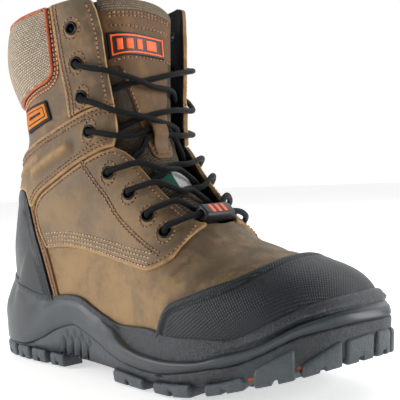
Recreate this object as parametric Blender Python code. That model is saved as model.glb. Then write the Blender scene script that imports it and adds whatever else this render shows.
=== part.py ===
"""Lace-up work boot for the right foot, built as separate pieces.

Lengths are millimetres until a mesh is made. X runs from heel to toe, Y to the inner (medial)
side of the foot, Z up. The upper is a fan of cross-sections: each one lies in a plane through a
base point on the feather line (later the back line) and a top point on the ridge of the instep.
"""
import math

import bmesh
import bpy
import numpy as np

MM = 0.001

# Driving sizes
SOLE_LENGTH = 307.6
SOLE_MIDDLE_Y = -3.2
WALL = 2.6
GAP = 0.3
PANEL = 1.5
BAND = 2.1
TAG = 1.2
PAD_BULGE = 8.0
COLUMNS_A_SIDE = 9
INSOLE_THICK = 4.0
TONGUE_THICK = 5.0
TONGUE_DEPTH = 9.4
TONGUE_TUCK = 14.0
PATCH_THICK = 1.5
KEEPER_HALF_WIDTH = 7.0
KEEPER_THICK = 1.8
LACE_RADIUS = 2.2
LACE_SIDES = 5
EYELET_SIDES = 7
HOLE_RADIUS = 3.6
BARREL_RADIUS = 3.25
BORE_RADIUS = 2.75
FLANGE_RADIUS = 4.7
FLANGE_THICK = 0.9
LUG_GAP = 4.5
LUG_DEPTH = 19.0
ORIGIN = np.array([SOLE_LENGTH / 2, SOLE_MIDDLE_Y, 0.0])

# Cross-sections of the upper, toe first
SECTION_COLUMNS = ("top_x", "top_z", "base_x", "base_z", "ridge_y", "lateral", "medial",
                   "base_lateral", "base_medial", "widest", "crown_lateral", "crown_medial", "heel")
SECTIONS = np.array([
    (297.3, 34.0, 297.3, 32.0, 14.3, 0.6, 0.6, 0.5, 0.5, .40, 2.0, 2.0, 2.0),
    (296.0, 47.5, 295.4, 31.5, 13.5, 15.5, 12.2, 13.5, 10.3, .45, 2.2, 2.2, 2.0),
    (291.0, 58.0, 289.8, 30.0, 12.3, 26.5, 20.5, 24.0, 18.6, .42, 2.3, 2.3, 2.0),
    (281.3, 65.5, 280.0, 27.5, 10.4, 37.0, 29.2, 34.0, 26.8, .38, 2.35, 2.3, 2.0),
    (266.5, 71.0, 265.4, 24.5, 7.3, 45.3, 36.8, 41.8, 33.8, .35, 2.3, 2.25, 2.0),
    (248.0, 75.5, 246.0, 21.0, 4.0, 50.5, 42.3, 47.0, 38.3, .33, 2.2, 2.15, 2.0),
    (228.0, 81.0, 224.0, 18.5, 1.0, 52.5, 45.0, 48.0, 41.5, .32, 2.1, 2.1, 2.0),
    (209.0, 90.0, 199.0, 18.0, -0.5, 51.0, 45.5, 46.0, 41.0, .32, 2.0, 2.1, 2.0),
    (193.0, 103.0, 171.0, 18.5, -1.0, 47.5, 43.5, 42.0, 37.0, .34, 2.0, 2.2, 2.0),
    (180.0, 117.0, 139.0, 20.0, -1.0, 44.0, 41.0, 38.0, 32.0, .36, 2.1, 2.4, 2.0),
    (169.0, 130.5, 104.0, 24.0, -1.0, 42.0, 39.5, 37.0, 31.0, .38, 2.2, 2.6, 2.0),
    (161.5, 143.0, 70.0, 27.0, -1.0, 41.5, 39.5, 37.5, 33.5, .42, 2.3, 2.8, 2.0),
    (156.5, 155.0, 39.0, 28.0, -1.0, 41.7, 41.0, 32.5, 31.0, .46, 2.4, 3.0, 2.0),
    (153.5, 166.0, 18.0, 28.5, -1.0, 42.2, 42.5, 20.0, 19.0, .48, 2.5, 3.2, 2.0),
    (152.0, 176.0, 8.6, 30.0, -1.0, 42.0, 44.0, 0.0, 0.0, .50, 2.6, 3.4, 2.0),
    (151.0, 185.0, 6.0, 58.0, -1.0, 41.5, 45.0, 0.0, 0.0, .50, 2.6, 3.5, 2.0),
    (150.5, 193.0, 14.6, 92.0, -1.0, 41.0, 45.5, 0.0, 0.0, .50, 2.6, 3.6, 2.0),
    (150.0, 201.0, 26.4, 123.0, -1.0, 41.2, 46.0, 0.0, 0.0, .50, 2.6, 3.6, 2.0),
    (149.5, 209.0, 32.4, 151.0, -1.0, 42.2, 46.5, 0.0, 0.0, .50, 2.6, 3.6, 2.0),
    (149.0, 218.0, 33.4, 177.0, -1.0, 43.8, 47.5, 0.0, 0.0, .50, 2.6, 3.6, 2.0),
    (148.5, 228.0, 32.0, 203.0, -1.0, 45.0, 49.0, 0.0, 0.0, .50, 2.6, 3.6, 2.0),
    (148.0, 238.0, 30.2, 227.0, -1.0, 46.0, 50.5, 0.0, 0.0, .50, 2.6, 3.6, 2.0),
])

# Rows of the upper's mesh, by section number
ROWS = (0, .5, 1, 1.6, 2.3, 3, 4, 5, 6, 6.7, 7.2, 7.28, 7.42, 7.7, 8.4, 9.2, 10.2, 11.3, 12.2, 12.8,
        13.4, 14, 14.7, 15.6, 16.8, 18, 18.6, 19.3, 20, 20.6, 21)

# Throat edge: length along the section from the ridge to the edge of each flap
THROAT_COLUMNS = ("section", "lateral", "medial")
THROAT = np.array([
    (7.2, 0.0, 0.0), (7.28, 9.0, 9.0), (7.42, 15.0, 15.0), (7.7, 17.5, 18.0), (8.3, 19.5, 20.0),
    (9.0, 22.0, 22.0), (10.0, 24.5, 25.0), (11.0, 27.5, 31.0), (11.5, 31.0, 36.0),
    (12.2, 38.5, 44.0), (12.8, 32.5, 40.0), (13.4, 32.0, 40.0), (15.0, 32.5, 41.0),
    (17.0, 33.5, 41.5), (19.0, 34.0, 41.0), (20.2, 36.5, 44.0), (20.7, 39.0, 48.0),
    (21.0, 44.0, 54.0),
])

# Eyelets: section, and length from the ridge on either flap
EYELET_COLUMNS = ("section", "lateral", "medial")
EYELETS = np.array([
    (19.72, 54.1, 61.0), (18.09, 54.3, 61.5), (16.26, 55.3, 62.0), (14.13, 54.5, 61.0),
    (11.37, 46.9, 51.0), (10.03, 40.1, 40.6), (8.90, 38.3, 38.3), (8.01, 36.5, 37.0),
])

# Lace crossings: upper eyelet, section at the throat edge on the way out, middle, and way in
LACE_COLUMNS = ("eyelet", "edge_out", "middle", "edge_in")
LACES = ((2, 16.75, 15.3, 15.55), (3, 14.45, 13.2, 13.45), (4, 13.25, 11.9, 11.3),
         (5, 10.8, 10.3, 10.1), (6, 9.55, 9.15, 8.98), (7, 8.5, 8.15, 8.02))
LACE_OVER = -2.9
LACE_UNDER = -6.2
LACE_STEPS = 11
KEEPER_CROSSING = 4
LACE_TAG = ((-6, -1.5), (-3, -4), (3, -4), (6, -1.5), (6, 1.5), (3, 4), (-3, 4), (-6, 1.5))

# The sole, heel first: outline, top of its cup, split, underside and tread heights, rim width
SOLE_COLUMNS = ("x", "lateral", "medial", "top", "split", "under", "tread", "rim")
SOLE = np.array([
    (0.0, 0.0, 0.0, 55.0, 17.0, 9.0, 3.0, 2.6),
    (2.0, -16.5, 14.0, 54.8, 17.0, 8.5, 2.0, 2.6),
    (8.0, -28.5, 25.0, 54.0, 16.5, 8.0, 0.4, 2.6),
    (18.0, -36.0, 32.5, 53.0, 16.0, 7.5, 0.0, 2.6),
    (35.0, -41.2, 37.8, 51.6, 16.0, 7.5, 0.0, 2.4),
    (55.0, -43.8, 40.0, 49.6, 16.0, 7.5, 0.0, 2.2),
    (78.0, -45.0, 40.5, 47.0, 16.5, 10.5, 0.0, 2.2),
    (102.0, -45.5, 39.5, 48.6, 17.0, 11.5, 0.0, 2.2),
    (128.0, -48.0, 40.0, 43.0, 16.0, 10.5, 0.0, 2.2),
    (152.0, -52.0, 43.5, 35.6, 15.0, 7.5, 0.0, 2.2),
    (175.0, -55.5, 47.5, 35.0, 14.6, 6.5, 0.0, 2.2),
    (198.0, -58.0, 51.0, 34.6, 14.4, 6.5, 0.0, 2.2),
    (220.0, -58.5, 52.0, 33.8, 14.8, 6.7, 0.4, 2.2),
    (240.0, -56.0, 51.3, 35.6, 16.4, 8.5, 3.4, 2.2),
    (258.0, -50.5, 49.4, 39.0, 18.6, 11.8, 7.4, 2.6),
    (272.5, -43.0, 46.8, 45.0, 21.4, 14.8, 10.6, 3.4),
    (285.0, -33.5, 42.6, 52.0, 24.2, 18.4, 13.8, 4.2),
    (295.0, -21.5, 36.6, 55.4, 26.6, 21.2, 17.2, 5.6),
    (302.5, -8.0, 29.4, 56.6, 28.4, 23.2, 19.6, 6.6),
    (306.3, 4.2, 22.6, 57.0, 29.2, 24.4, 20.8, 6.6),
    (307.6, 14.2, 14.2, 57.0, 29.5, 24.8, 21.2, 6.6),
])
SOLE_STATIONS = 26
LUG_RUNS = ((154.0, 15), (75.0, 7))
FOREFOOT_BARS = (170.0, 189.0, 208.0, 227.0, 246.0, 264.0)
HEEL_BARS = (30.0, 50.0, 69.0)
BAR_HALF = 4.5
BAR_INSET = 26.0

# Side outlines of the overlays, X and Z
TOE_CAP_BORDER = ((203, 42.4), (210, 50.3), (222.5, 55.5), (244, 63), (256, 70.6), (259, 76), (262, 95))
COUNTER_BORDER = ((83.2, 50.5), (79, 62), (73.5, 80), (66, 100), (60.3, 113.6), (56, 116.4), (12, 118.4),
                  (-15, 119))
BAND_TOP = ((-15, 128), (20, 133), (63, 145), (111.5, 161.6), (132.5, 168.3), (155, 168))
BAND_LOW = ((155, 144.5), (141, 142), (133, 140), (118, 134.4), (83, 118), (66.5, 109.6), (61, 114.6),
            (56, 116.9), (12, 119), (-15, 119.6))
QUARTER = ((76.8, 80), (70.5, 95.6), (66.6, 108.8), (83, 117.2), (118, 133.6), (133, 139.2), (141, 141.2),
           (147, 144), (172, 152), (230, 122), (215, 112), (201.5, 93), (204.8, 87), (205.8, 81.4), (199, 73),
           (184.7, 67.3), (147.4, 74), (112, 79.4), (84, 78.8))
FACING = ((106, 255), (106, 231), (107.8, 206.6), (111.3, 162.4), (132.5, 169), (180, 168.6), (180, 255))
TAG_OUTLINE = ((59, 171.5), (90.6, 176.1), (94.5, 162.9), (61.5, 155.4))
PAD = ((101.4, 255), (101.8, 197), (99, 190.5), (92, 187.4), (86, 186), (67, 181), (20, 168), (-20, 164),
       (-20, 255))


def smooth_row(table, u):
    """A row between two rows of a table, on a smooth curve through them."""
    last = len(table) - 1
    i = int(min(max(math.floor(u), 0), last - 1))
    t = u - i
    a, b, c, d = (table[min(max(k, 0), last)] for k in (i - 1, i, i + 1, i + 2))
    bend = (2 * a - 5 * b + 4 * c - d) * t * t + (3 * b - a - 3 * c + d) * t ** 3
    return 0.5 * (2 * b + (c - a) * t + bend)


HALVES = {}


def half(u, side):
    """One side of a section, from the ridge to the base, with its lengths from the ridge."""
    key = (round(u, 4), side)
    if key in HALVES:
        return HALVES[key]
    s = dict(zip(SECTION_COLUMNS, smooth_row(SECTIONS, u)))
    name = "lateral" if side < 0 else "medial"
    wide = s[name]
    base = max(s["base_" + name], 0.0)
    crown = 2 / s["crown_" + name]
    heel = 2 / s["heel"]
    a = np.linspace(math.pi / 2, 0, 48)
    b = np.linspace(0, math.pi / 2, 48)[1:]
    e = s["widest"]
    along = np.concatenate([e + (1 - e) * np.sin(a) ** crown, e * (1 - np.sin(b) ** heel)])
    high = wide * np.abs(np.cos(a)) ** crown
    low = base + (wide - base) * np.abs(np.cos(b)) ** heel
    out = np.concatenate([high, low])
    points = np.stack([s["base_x"] + along * (s["top_x"] - s["base_x"]), s["ridge_y"] + side * out,
                       s["base_z"] + along * (s["top_z"] - s["base_z"])], 1)
    lengths = np.r_[0, np.cumsum(np.linalg.norm(np.diff(points, axis=0), axis=1))]
    HALVES[key] = (points, lengths)
    return HALVES[key]


def point(u, s):
    """Point of the upper's outside at a signed length from the ridge, lateral below zero."""
    points, lengths = half(u, -1 if s < 0 else 1)
    return np.array([np.interp(abs(s), lengths, points[:, k]) for k in range(3)])


def normal(u, s):
    """Outward direction of the upper at a point."""
    across = point(u, s + 1.0) - point(u, s - 1.0)
    up = point(u + 0.05, s) - point(u - 0.05, s)
    n = np.cross(across, up)
    return n / np.linalg.norm(n)


def lift(u, s, height):
    """Point at a height over the upper's outside, or inside it below zero."""
    return point(u, s) + height * normal(u, s)


def throat(u, side):
    """Length from the ridge to the flap's edge."""
    return float(np.interp(u, THROAT[:, 0], THROAT[:, 1 if side < 0 else 2]))


def spread(u, side):
    """Even points of one side, flap edge first."""
    points, lengths = half(u, side)
    at = np.linspace(throat(u, side), lengths[-1], COLUMNS_A_SIDE)
    return np.stack([np.interp(at, lengths, points[:, k]) for k in range(3)], 1)


def clean(faces):
    """Faces without repeated corners, split into triangles."""
    result = []
    for face in faces:
        ring = [v for k, v in enumerate(face) if v != face[k - 1]]
        if len(set(ring)) == 4:
            result += [(ring[0], ring[1], ring[2]), (ring[0], ring[2], ring[3])]
        elif len(set(ring)) == 3:
            result.append(tuple(dict.fromkeys(ring)))
    return result


class Lattice:
    """The upper's outside as one grid, welded at the closed ridge and the back seam."""

    def __init__(self):
        n = COLUMNS_A_SIDE
        grid = np.array([np.concatenate([spread(u, -1)[::-1], spread(u, 1)]) for u in ROWS])
        self.rows, self.columns = grid.shape[:2]
        self.ids = np.zeros((self.rows, self.columns), int)
        kept = []
        for i in range(self.rows):
            for j in range(self.columns):
                twin = {n: n - 1, self.columns - 1: 0}.get(j)
                if twin is not None and np.linalg.norm(grid[i, j] - grid[i, twin]) < 0.01:
                    self.ids[i, j] = self.ids[i, twin]
                else:
                    self.ids[i, j] = len(kept)
                    kept.append(grid[i, j])
        self.points = np.array(kept)
        quads = []
        for i in range(self.rows - 1):
            for j in range(self.columns - 1):
                if j != n - 1:
                    quads.append(self.quad(i, j, j + 1))
        self.faces = clean(quads)
        self.normals = np.zeros_like(self.points)
        for a, b, c in self.faces:
            flat = np.cross(self.points[b] - self.points[a], self.points[c] - self.points[a])
            for k in (a, b, c):
                self.normals[k] += flat
        self.normals /= np.linalg.norm(self.normals, axis=1)[:, None]

    def quad(self, i, j, k):
        """Corners between two rows and two columns."""
        ids = self.ids
        return (ids[i, j], ids[i, k], ids[i + 1, k], ids[i + 1, j])

    def at(self, height):
        """The grid's points at a height, one number or one a point."""
        return self.points + self.normals * np.reshape(height, (-1, 1))

    def shell(self, low, high):
        """Vertices and faces of the closed skin between two heights."""
        count = len(self.points)
        verts = np.concatenate([self.at(high), self.at(low)])
        edges = {}
        for face in self.faces:
            for k in range(3):
                edges[(face[k - 1], face[k])] = True
        faces = list(self.faces) + [(c + count, b + count, a + count) for a, b, c in self.faces]
        faces += [(b, a, a + count, b + count) for a, b in edges if (b, a) not in edges]
        return verts, faces

    def foot(self, height, last_section):
        """Vertices and faces of the closed foot form at a height, up to one section."""
        last = max(i for i, u in enumerate(ROWS) if u <= last_section)
        verts = self.at(height)
        base = set(self.ids[:, 0]) | set(self.ids[:, -1])
        for k in base:
            verts[k, 2] -= height
        quads = []
        for i in range(last):
            for j in range(self.columns):
                quads.append(self.quad(i, j, (j + 1) % self.columns))
        faces = clean(quads)
        faces.append(tuple(dict.fromkeys(self.ids[0, ::-1])))
        faces.append(tuple(dict.fromkeys(self.ids[last])))
        return verts, faces


def finish(name, colour, roughness, metal=0.0):
    """One plain material."""
    material = bpy.data.materials.new(name)
    material.use_nodes = True
    shader = material.node_tree.nodes["Principled BSDF"]
    shader.inputs["Base Color"].default_value = (*colour, 1.0)
    shader.inputs["Roughness"].default_value = roughness
    shader.inputs["Metallic"].default_value = metal
    return material


def make(name, verts, faces, look=None):
    """A closed mesh object from millimetre points, in the parts or the cutters collection."""
    mesh = bpy.data.meshes.new(name)
    used = sorted({int(v) for face in faces for v in face})
    number = {v: k for k, v in enumerate(used)}
    mesh.from_pydata([tuple((np.asarray(verts[v]) - ORIGIN) * MM) for v in used], [],
                     [tuple(number[int(v)] for v in face) for face in faces])
    bm = bmesh.new()
    bm.from_mesh(mesh)
    bmesh.ops.recalc_face_normals(bm, faces=bm.faces)
    bm.to_mesh(mesh)
    bm.free()
    ob = bpy.data.objects.new(name, mesh)
    if look:
        mesh.materials.append(look)
        PARTS.objects.link(ob)
    else:
        CUTTERS.objects.link(ob)
        ob.hide_render = True
        ob.display_type = "WIRE"
    return ob


def cut(ob, cutter, way):
    """A live exact Boolean."""
    step = ob.modifiers.new(cutter.name, "BOOLEAN")
    step.operation = way
    step.solver = "EXACT"
    step.object = cutter


def join(meshes):
    """Several vertex and face lists as one."""
    verts, faces, count = [], [], 0
    for v, f in meshes:
        verts.append(np.asarray(v))
        faces += [tuple(int(k) + count for k in face) for face in f]
        count += len(v)
    return np.concatenate(verts), faces


def loft(rings, closed_ends=True):
    """Faces through rings of equal length."""
    n = len(rings[0])
    faces = []
    for i in range(len(rings) - 1):
        for j in range(n):
            k = (j + 1) % n
            faces.append((i * n + j, i * n + k, (i + 1) * n + k, (i + 1) * n + j))
    if closed_ends:
        faces.append(tuple(range(n))[::-1])
        faces.append(tuple(range((len(rings) - 1) * n, len(rings) * n)))
    return np.concatenate(rings), faces


def slab(top, low):
    """Faces of a plate between two grids of points."""
    rows, columns = top.shape[:2]
    count = rows * columns
    verts = np.concatenate([top.reshape(-1, 3), low.reshape(-1, 3)])
    faces = []
    for i in range(rows - 1):
        for j in range(columns - 1):
            a = i * columns + j
            b = a + 1
            d = a + columns
            c = d + 1
            faces += [(a, b, c), (a, c, d)]
            faces += [(c + count, b + count, a + count), (d + count, c + count, a + count)]
    rim = [j for j in range(columns)] + [i * columns + columns - 1 for i in range(1, rows)]
    rim += [(rows - 1) * columns + j for j in range(columns - 2, -1, -1)]
    rim += [i * columns for i in range(rows - 2, 0, -1)]
    for k, a in enumerate(rim):
        b = rim[(k + 1) % len(rim)]
        faces.append((b, a, a + count, b + count))
    return verts, faces


def tube(path, radius, sides, steps):
    """A round cord along a smooth path through control points."""
    path = np.array(path)
    line = np.array([smooth_row(path, u) for u in np.linspace(0, len(path) - 1, steps)])
    side = np.array([0.0, 0.0, 1.0])
    rings = []
    for k in range(len(line)):
        way = line[min(k + 1, len(line) - 1)] - line[max(k - 1, 0)]
        way = way / np.linalg.norm(way)
        side = side - way * np.dot(side, way)
        side = side / np.linalg.norm(side)
        up = np.cross(way, side)
        angles = np.arange(sides) * 2 * math.pi / sides
        rings.append(np.array([line[k] + radius * (math.cos(t) * side + math.sin(t) * up) for t in angles]))
    return loft(rings)


def axis_frame(direction):
    """Two directions square to a third."""
    side = np.cross(direction, [1.0, 0.0, 0.0])
    side = side / np.linalg.norm(side)
    return side, np.cross(direction, side)


def round_stack(centre, direction, profile, sides, ring_closed):
    """A turned piece: radius and height pairs round an axis."""
    a, b = axis_frame(direction)
    angles = np.arange(sides) * 2 * math.pi / sides
    rings = [np.array([centre + h * direction + r * (math.cos(t) * a + math.sin(t) * b) for t in angles])
             for r, h in profile]
    if not ring_closed:
        return loft(rings)
    return ring_loft(rings)


def ring_loft(rings):
    """Faces round a turned ring whose profile is closed."""
    n = len(rings[0])
    m = len(rings)
    faces = []
    for i in range(m):
        for j in range(n):
            k = (j + 1) % n
            o = (i + 1) % m
            faces.append((i * n + j, i * n + k, o * n + k, o * n + j))
    return np.concatenate(rings), faces


def prism(name, outline, y_low, y_high):
    """A cutter: a side outline carried across the boot."""
    rings = [np.array([(x, y, z) for x, z in outline]) for y in (y_low, y_high)]
    return make(name, *loft(rings))


def panel(name, outline, sides, high, look):
    """An overlay cut from the skin just outside the upper."""
    ob = make(name, *LATTICE.shell(GAP, high), look)
    cut(ob, prism(name + "_outline", outline, *sides), "INTERSECT")
    return ob


def sole_value(name, x):
    """A height of the sole at a length from the heel."""
    return np.interp(x, SOLE_FINE[:, 0], SOLE_FINE[:, SOLE_COLUMNS.index(name)])


def sole_rows():
    """Station rows of the sole, heel to toe."""
    return np.array([smooth_row(SOLE, u) for u in np.linspace(0, len(SOLE) - 1, SOLE_STATIONS + 1)])


def plan_loop(rows):
    """Closed plan outline, lateral side first, with outward directions and each point's row."""
    last = len(rows) - 1
    loop = [(rows[i, 0], rows[i, 1]) for i in range(last + 1)]
    loop = np.array(loop + [(rows[i, 0], rows[i, 2]) for i in range(last - 1, 0, -1)])
    owner = list(range(last + 1)) + list(range(last - 1, 0, -1))
    way = np.roll(loop, -1, 0) - np.roll(loop, 1, 0)
    out = np.stack([way[:, 1], -way[:, 0]], 1)
    out /= np.linalg.norm(out, axis=1)[:, None]
    return loop, out, owner


def contour(height):
    """Plan points of the upper at one height."""
    found = []
    for side in (-1, 1):
        for u in np.r_[np.linspace(0.05, 3.0, 120), np.linspace(3.1, 15.4, 120)]:
            points, _ = half(u, side)
            z = points[:, 2]
            k = int(np.argmax(z < height))
            if z[0] >= height and z[-1] < height and k > 0:
                t = (z[k - 1] - height) / (z[k - 1] - z[k])
                found.append(points[k - 1, :2] * (1 - t) + points[k, :2] * t)
    return np.array(found)


def strip_faces(start, owner, last, flip):
    """Faces that close a ring of the sole straight across."""
    number = {}
    for k, row in enumerate(owner):
        number.setdefault(row, []).append(start + k)
    faces = []
    for row in range(last):
        a, b = number[row], number[row + 1]
        ring = [a[0], b[0], b[-1], a[-1]]
        ring = list(dict.fromkeys(ring))
        faces.append(tuple(ring[::-1] if flip else ring))
    return faces


def sole_solid(levels, owner):
    """A closed loft through rings of the sole, straight across at both ends."""
    verts, faces = loft(levels, False)
    last = max(owner)
    faces += strip_faces(0, owner, last, False)
    faces += strip_faces((len(levels) - 1) * len(owner), owner, last, True)
    return verts, faces


def midsole():
    """The moulded cup: stepped side, rim, and a hollow that takes the upper."""
    rows = sole_rows()
    loop, out, owner = plan_loop(rows)
    split = np.array([rows[k, 4] for k in owner]) + GAP
    edge = []
    for k, at in enumerate(loop):
        height = rows[owner[k], 3]
        for _ in range(3):
            near = contour(height)
            hit = near[np.argmin(np.linalg.norm(near - at, axis=1))]
            height = float(sole_value("top", hit[0]))
        way = (at - hit) / max(np.linalg.norm(at - hit), 1e-6)
        edge.append((hit, way, height, rows[owner[k], 7]))
    top = np.array([e[2] for e in edge])
    rim = np.array([e[0] + e[1] * (GAP + e[3]) for e in edge])
    inner = rim - 8.0 * out

    def level(plan, z):
        return np.concatenate([plan, np.reshape(z, (-1, 1))], 1)

    tall = top - split
    levels = [level(loop - 7.0 * out, split), level(loop - 0.9 * out, split), level(loop, split + 1.6),
              level(loop, split + 0.40 * tall), level(loop + 0.9 * out, split + 0.46 * tall),
              level(loop - 0.5 * out, split + 0.53 * tall),
              level(0.35 * loop + 0.65 * rim, split + 0.86 * tall), level(rim, top), level(inner, top)]
    ob = make("midsole", *sole_solid(levels, owner), LOOKS["sole"])
    cut(ob, make("foot_form", *LATTICE.foot(GAP, 16.2)), "DIFFERENCE")
    return ob


def outsole():
    """The tread unit: base plate, perimeter lugs and cross bars."""
    rows = sole_rows()
    loop, out, owner = plan_loop(rows)
    split = np.array([rows[k, 4] for k in owner])
    under = np.array([rows[k, 5] for k in owner])

    def level(inset, z):
        return np.concatenate([loop - inset * out, np.reshape(z, (-1, 1))], 1)

    levels = [level(8.0, under), level(2.2, under), level(0.9, under + 1.3), level(0.5, split - 1.3),
              level(1.4, split), level(8.0, split)]
    ob = make("outsole", *sole_solid(levels, owner), LOOKS["tread"])
    blocks = []
    fine = np.array([smooth_row(SOLE, u) for u in np.linspace(0, len(SOLE) - 1, 401)])
    ring, away, _ = plan_loop(fine)
    run = np.r_[0, np.cumsum(np.linalg.norm(np.diff(np.vstack([ring, ring[:1]]), axis=0), axis=1))]
    round_length = run[-1]

    def where(length):
        length = length % round_length
        closed = np.vstack([ring, ring[:1]])
        turned = np.vstack([away, away[:1]])
        return (np.array([np.interp(length, run, closed[:, k]) for k in (0, 1)]),
                np.array([np.interp(length, run, turned[:, k]) for k in (0, 1)]))

    def block(corners):
        low = np.array([(x, y, sole_value("tread", x)) for x, y in corners])
        high = np.array([(x, y, sole_value("under", x) + 1.2) for x, y in corners])
        return loft([low, high])

    half_way = len(fine) - 1
    lateral_x = fine[:, 0]
    for near_x, count in LUG_RUNS:
        start = np.interp(near_x, lateral_x, run[:half_way + 1])
        back = np.interp(near_x, lateral_x, medial_run(run, half_way))
        first, last = (start, back) if near_x > 100 else (back, start + round_length)
        pitch = (last - first + LUG_GAP) / count
        for k in range(count):
            ends = [where(first + k * pitch), where(first + (k + 1) * pitch - LUG_GAP)]
            (p, n), (q, m) = ends
            blocks.append(block([p - 1.0 * n, q - 1.0 * m, q - LUG_DEPTH * m, p - LUG_DEPTH * n]))
    for x in FOREFOOT_BARS + HEEL_BARS:
        low_y = np.interp(x, fine[:, 0], fine[:, 1]) + BAR_INSET
        high_y = np.interp(x, fine[:, 0], fine[:, 2]) - BAR_INSET
        front, rear = x + BAR_HALF, x - BAR_HALF
        blocks.append(block([(rear, low_y), (front, low_y), (front, high_y), (rear, high_y)]))
    cut(ob, make("tread_blocks", *join(blocks)), "UNION")
    return ob


def medial_run(run, half_way):
    """Lengths round the outline of the medial stations, heel first."""
    tail = run[half_way:]
    return tail[::-1][:half_way + 1]


def insole():
    """The footbed, clear of the wall, on the floor of the cup."""
    us = np.array([0.3, .7, 1.2, 2, 3, 4, 5, 6, 7, 8, 9, 10, 11, 12, 12.6, 13.2, 13.6])
    sides = []
    for side in (-1, 1):
        line = np.array([half(u, side)[0][-1] for u in us])
        way = np.gradient(line[:, :2], axis=0)
        out = np.stack([way[:, 1], -way[:, 0]], 1) / np.linalg.norm(way, axis=1)[:, None]
        line[:, :2] -= side * out * (WALL + 1.4)
        sides.append(line)
    across = np.linspace(0, 1, 5)
    grid = np.array([[a * (1 - t) + b * t for t in across] for a, b in zip(*sides)])
    low = grid + np.array([0, 0, GAP])
    return make("insole", *slab(low + np.array([0, 0, INSOLE_THICK]), low), LOOKS["lining"])


def tongue_height(u):
    """Height of the tongue's face under the upper's outside."""
    return -float(np.interp(u, (7.0, 7.5, 7.85, 22.0), (4.4, 7.2, TONGUE_DEPTH, TONGUE_DEPTH)))


def tongue_point(u, s, height):
    """Point over the tongue's face."""
    return lift(u, s, tongue_height(u) + height)


def tongue_pieces():
    """Tongue, its patch and its lace keeper."""
    us = np.r_[7.0, 7.5, 7.85, 8.6, np.linspace(9.4, 20.8, 11)]
    across = np.linspace(-1, 1, 9)

    def row(u, height):
        reach = [throat(u, side) + TONGUE_TUCK * min(1.0, 0.5 + (u - 7.0) / 3) for side in (-1, 1)]
        return [tongue_point(u, t * (reach[0] if t < 0 else reach[1]), height) for t in across]

    face = np.array([row(u, 0.0) for u in us])
    back = np.array([row(u, -TONGUE_THICK) for u in us])
    make("tongue", *slab(face, back), LOOKS["leather"])
    across = np.linspace(-22.0, 21.0, 9)
    us = np.linspace(17.2, 19.2, 5)
    top = np.array([[tongue_point(u, s, PATCH_THICK + 0.6) for s in across] for u in us])
    low = np.array([[tongue_point(u, s, 0.6) for s in across] for u in us])
    make("tongue_patch", *slab(top, low), LOOKS["patch"])
    us = (10.8, 11.1, 11.36, 11.62, 12.18, 12.38, 12.56, 12.75)
    rise = (0.5, 0.5, 2.4, 5.6, 5.6, 2.4, 0.5, 0.5)
    across = np.linspace(-KEEPER_HALF_WIDTH, KEEPER_HALF_WIDTH, 3)
    low = np.array([[tongue_point(u, s, h) for s in across] for u, h in zip(us, rise)])
    top = np.array([[tongue_point(u, s, h + KEEPER_THICK) for s in across] for u, h in zip(us, rise)])
    make("tongue_keeper", *slab(top, low), LOOKS["leather"])


def eyelet_place(k, side):
    """Centre and axis of an eyelet on the upper's outside."""
    u = EYELETS[k - 1, 0]
    s = EYELETS[k - 1, 1] if side < 0 else EYELETS[k - 1, 2]
    return point(u, side * s), normal(u, side * s)


def eyelet_base(k):
    """Height of the overlay under an eyelet's flange."""
    return (BAND if k == 4 else PANEL) + GAP


def eyelets():
    """Flanged eyelets through the flaps, and the holes they sit in."""
    for side, name in ((-1, "lateral"), (1, "medial")):
        holes = []
        for k in range(1, len(EYELETS) + 1):
            centre, axis = eyelet_place(k, side)
            base = eyelet_base(k) + GAP + 0.1
            low = -WALL - 0.4
            profile = ((BORE_RADIUS, low), (BARREL_RADIUS, low), (BARREL_RADIUS, base), (FLANGE_RADIUS, base),
                       (BORE_RADIUS, base + FLANGE_THICK))
            ring = round_stack(centre, axis, profile, EYELET_SIDES, True)
            make("eyelet_%s_%d" % (name, k), *ring, LOOKS["metal"])
            bore = ((HOLE_RADIUS, -12), (HOLE_RADIUS, 8))
            holes.append(round_stack(centre, axis, bore, EYELET_SIDES, False))
        HOLES[side] = make("holes_" + name, *join(holes))


def strand(k, side, edge_out, edge_in, middle):
    """Control points of one lace strand from an eyelet's outside to inside the other flap."""
    far = -side
    start = eyelet_base(k) + GAP + FLANGE_THICK + LACE_RADIUS + 0.6
    u = EYELETS[k - 1, 0]
    s = EYELETS[k - 1, 1 if side < 0 else 2]
    end_u = EYELETS[k, 0]
    end_s = EYELETS[k, 2 if side < 0 else 1]
    edge = throat(edge_out, side) - 1.0
    way_in = throat(edge_in, far) + 1.0
    first, last = middle[0], middle[-1]
    rest = 0.5 * (BAND + LACE_RADIUS + 1.0 + first[2])
    points = [lift(u, side * s, start), lift(0.5 * (u + edge_out), side * 0.5 * (s + edge), start + 0.2),
              lift(edge_out, side * edge, BAND + LACE_RADIUS + 1.0),
              lift(0.5 * (edge_out + first[0]), side * 0.5 * (edge + first[1]), rest)]
    points += [lift(m, side * t, h) for m, t, h in middle]
    dive = 0.35 * last[2] + 0.65 * LACE_UNDER
    points += [lift(0.5 * (edge_in + last[0]), far * 0.5 * (way_in - last[1]), dive),
               lift(edge_in, far * way_in, LACE_UNDER), lift(end_u, far * (end_s - 6.0), LACE_UNDER)]
    return points


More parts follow.
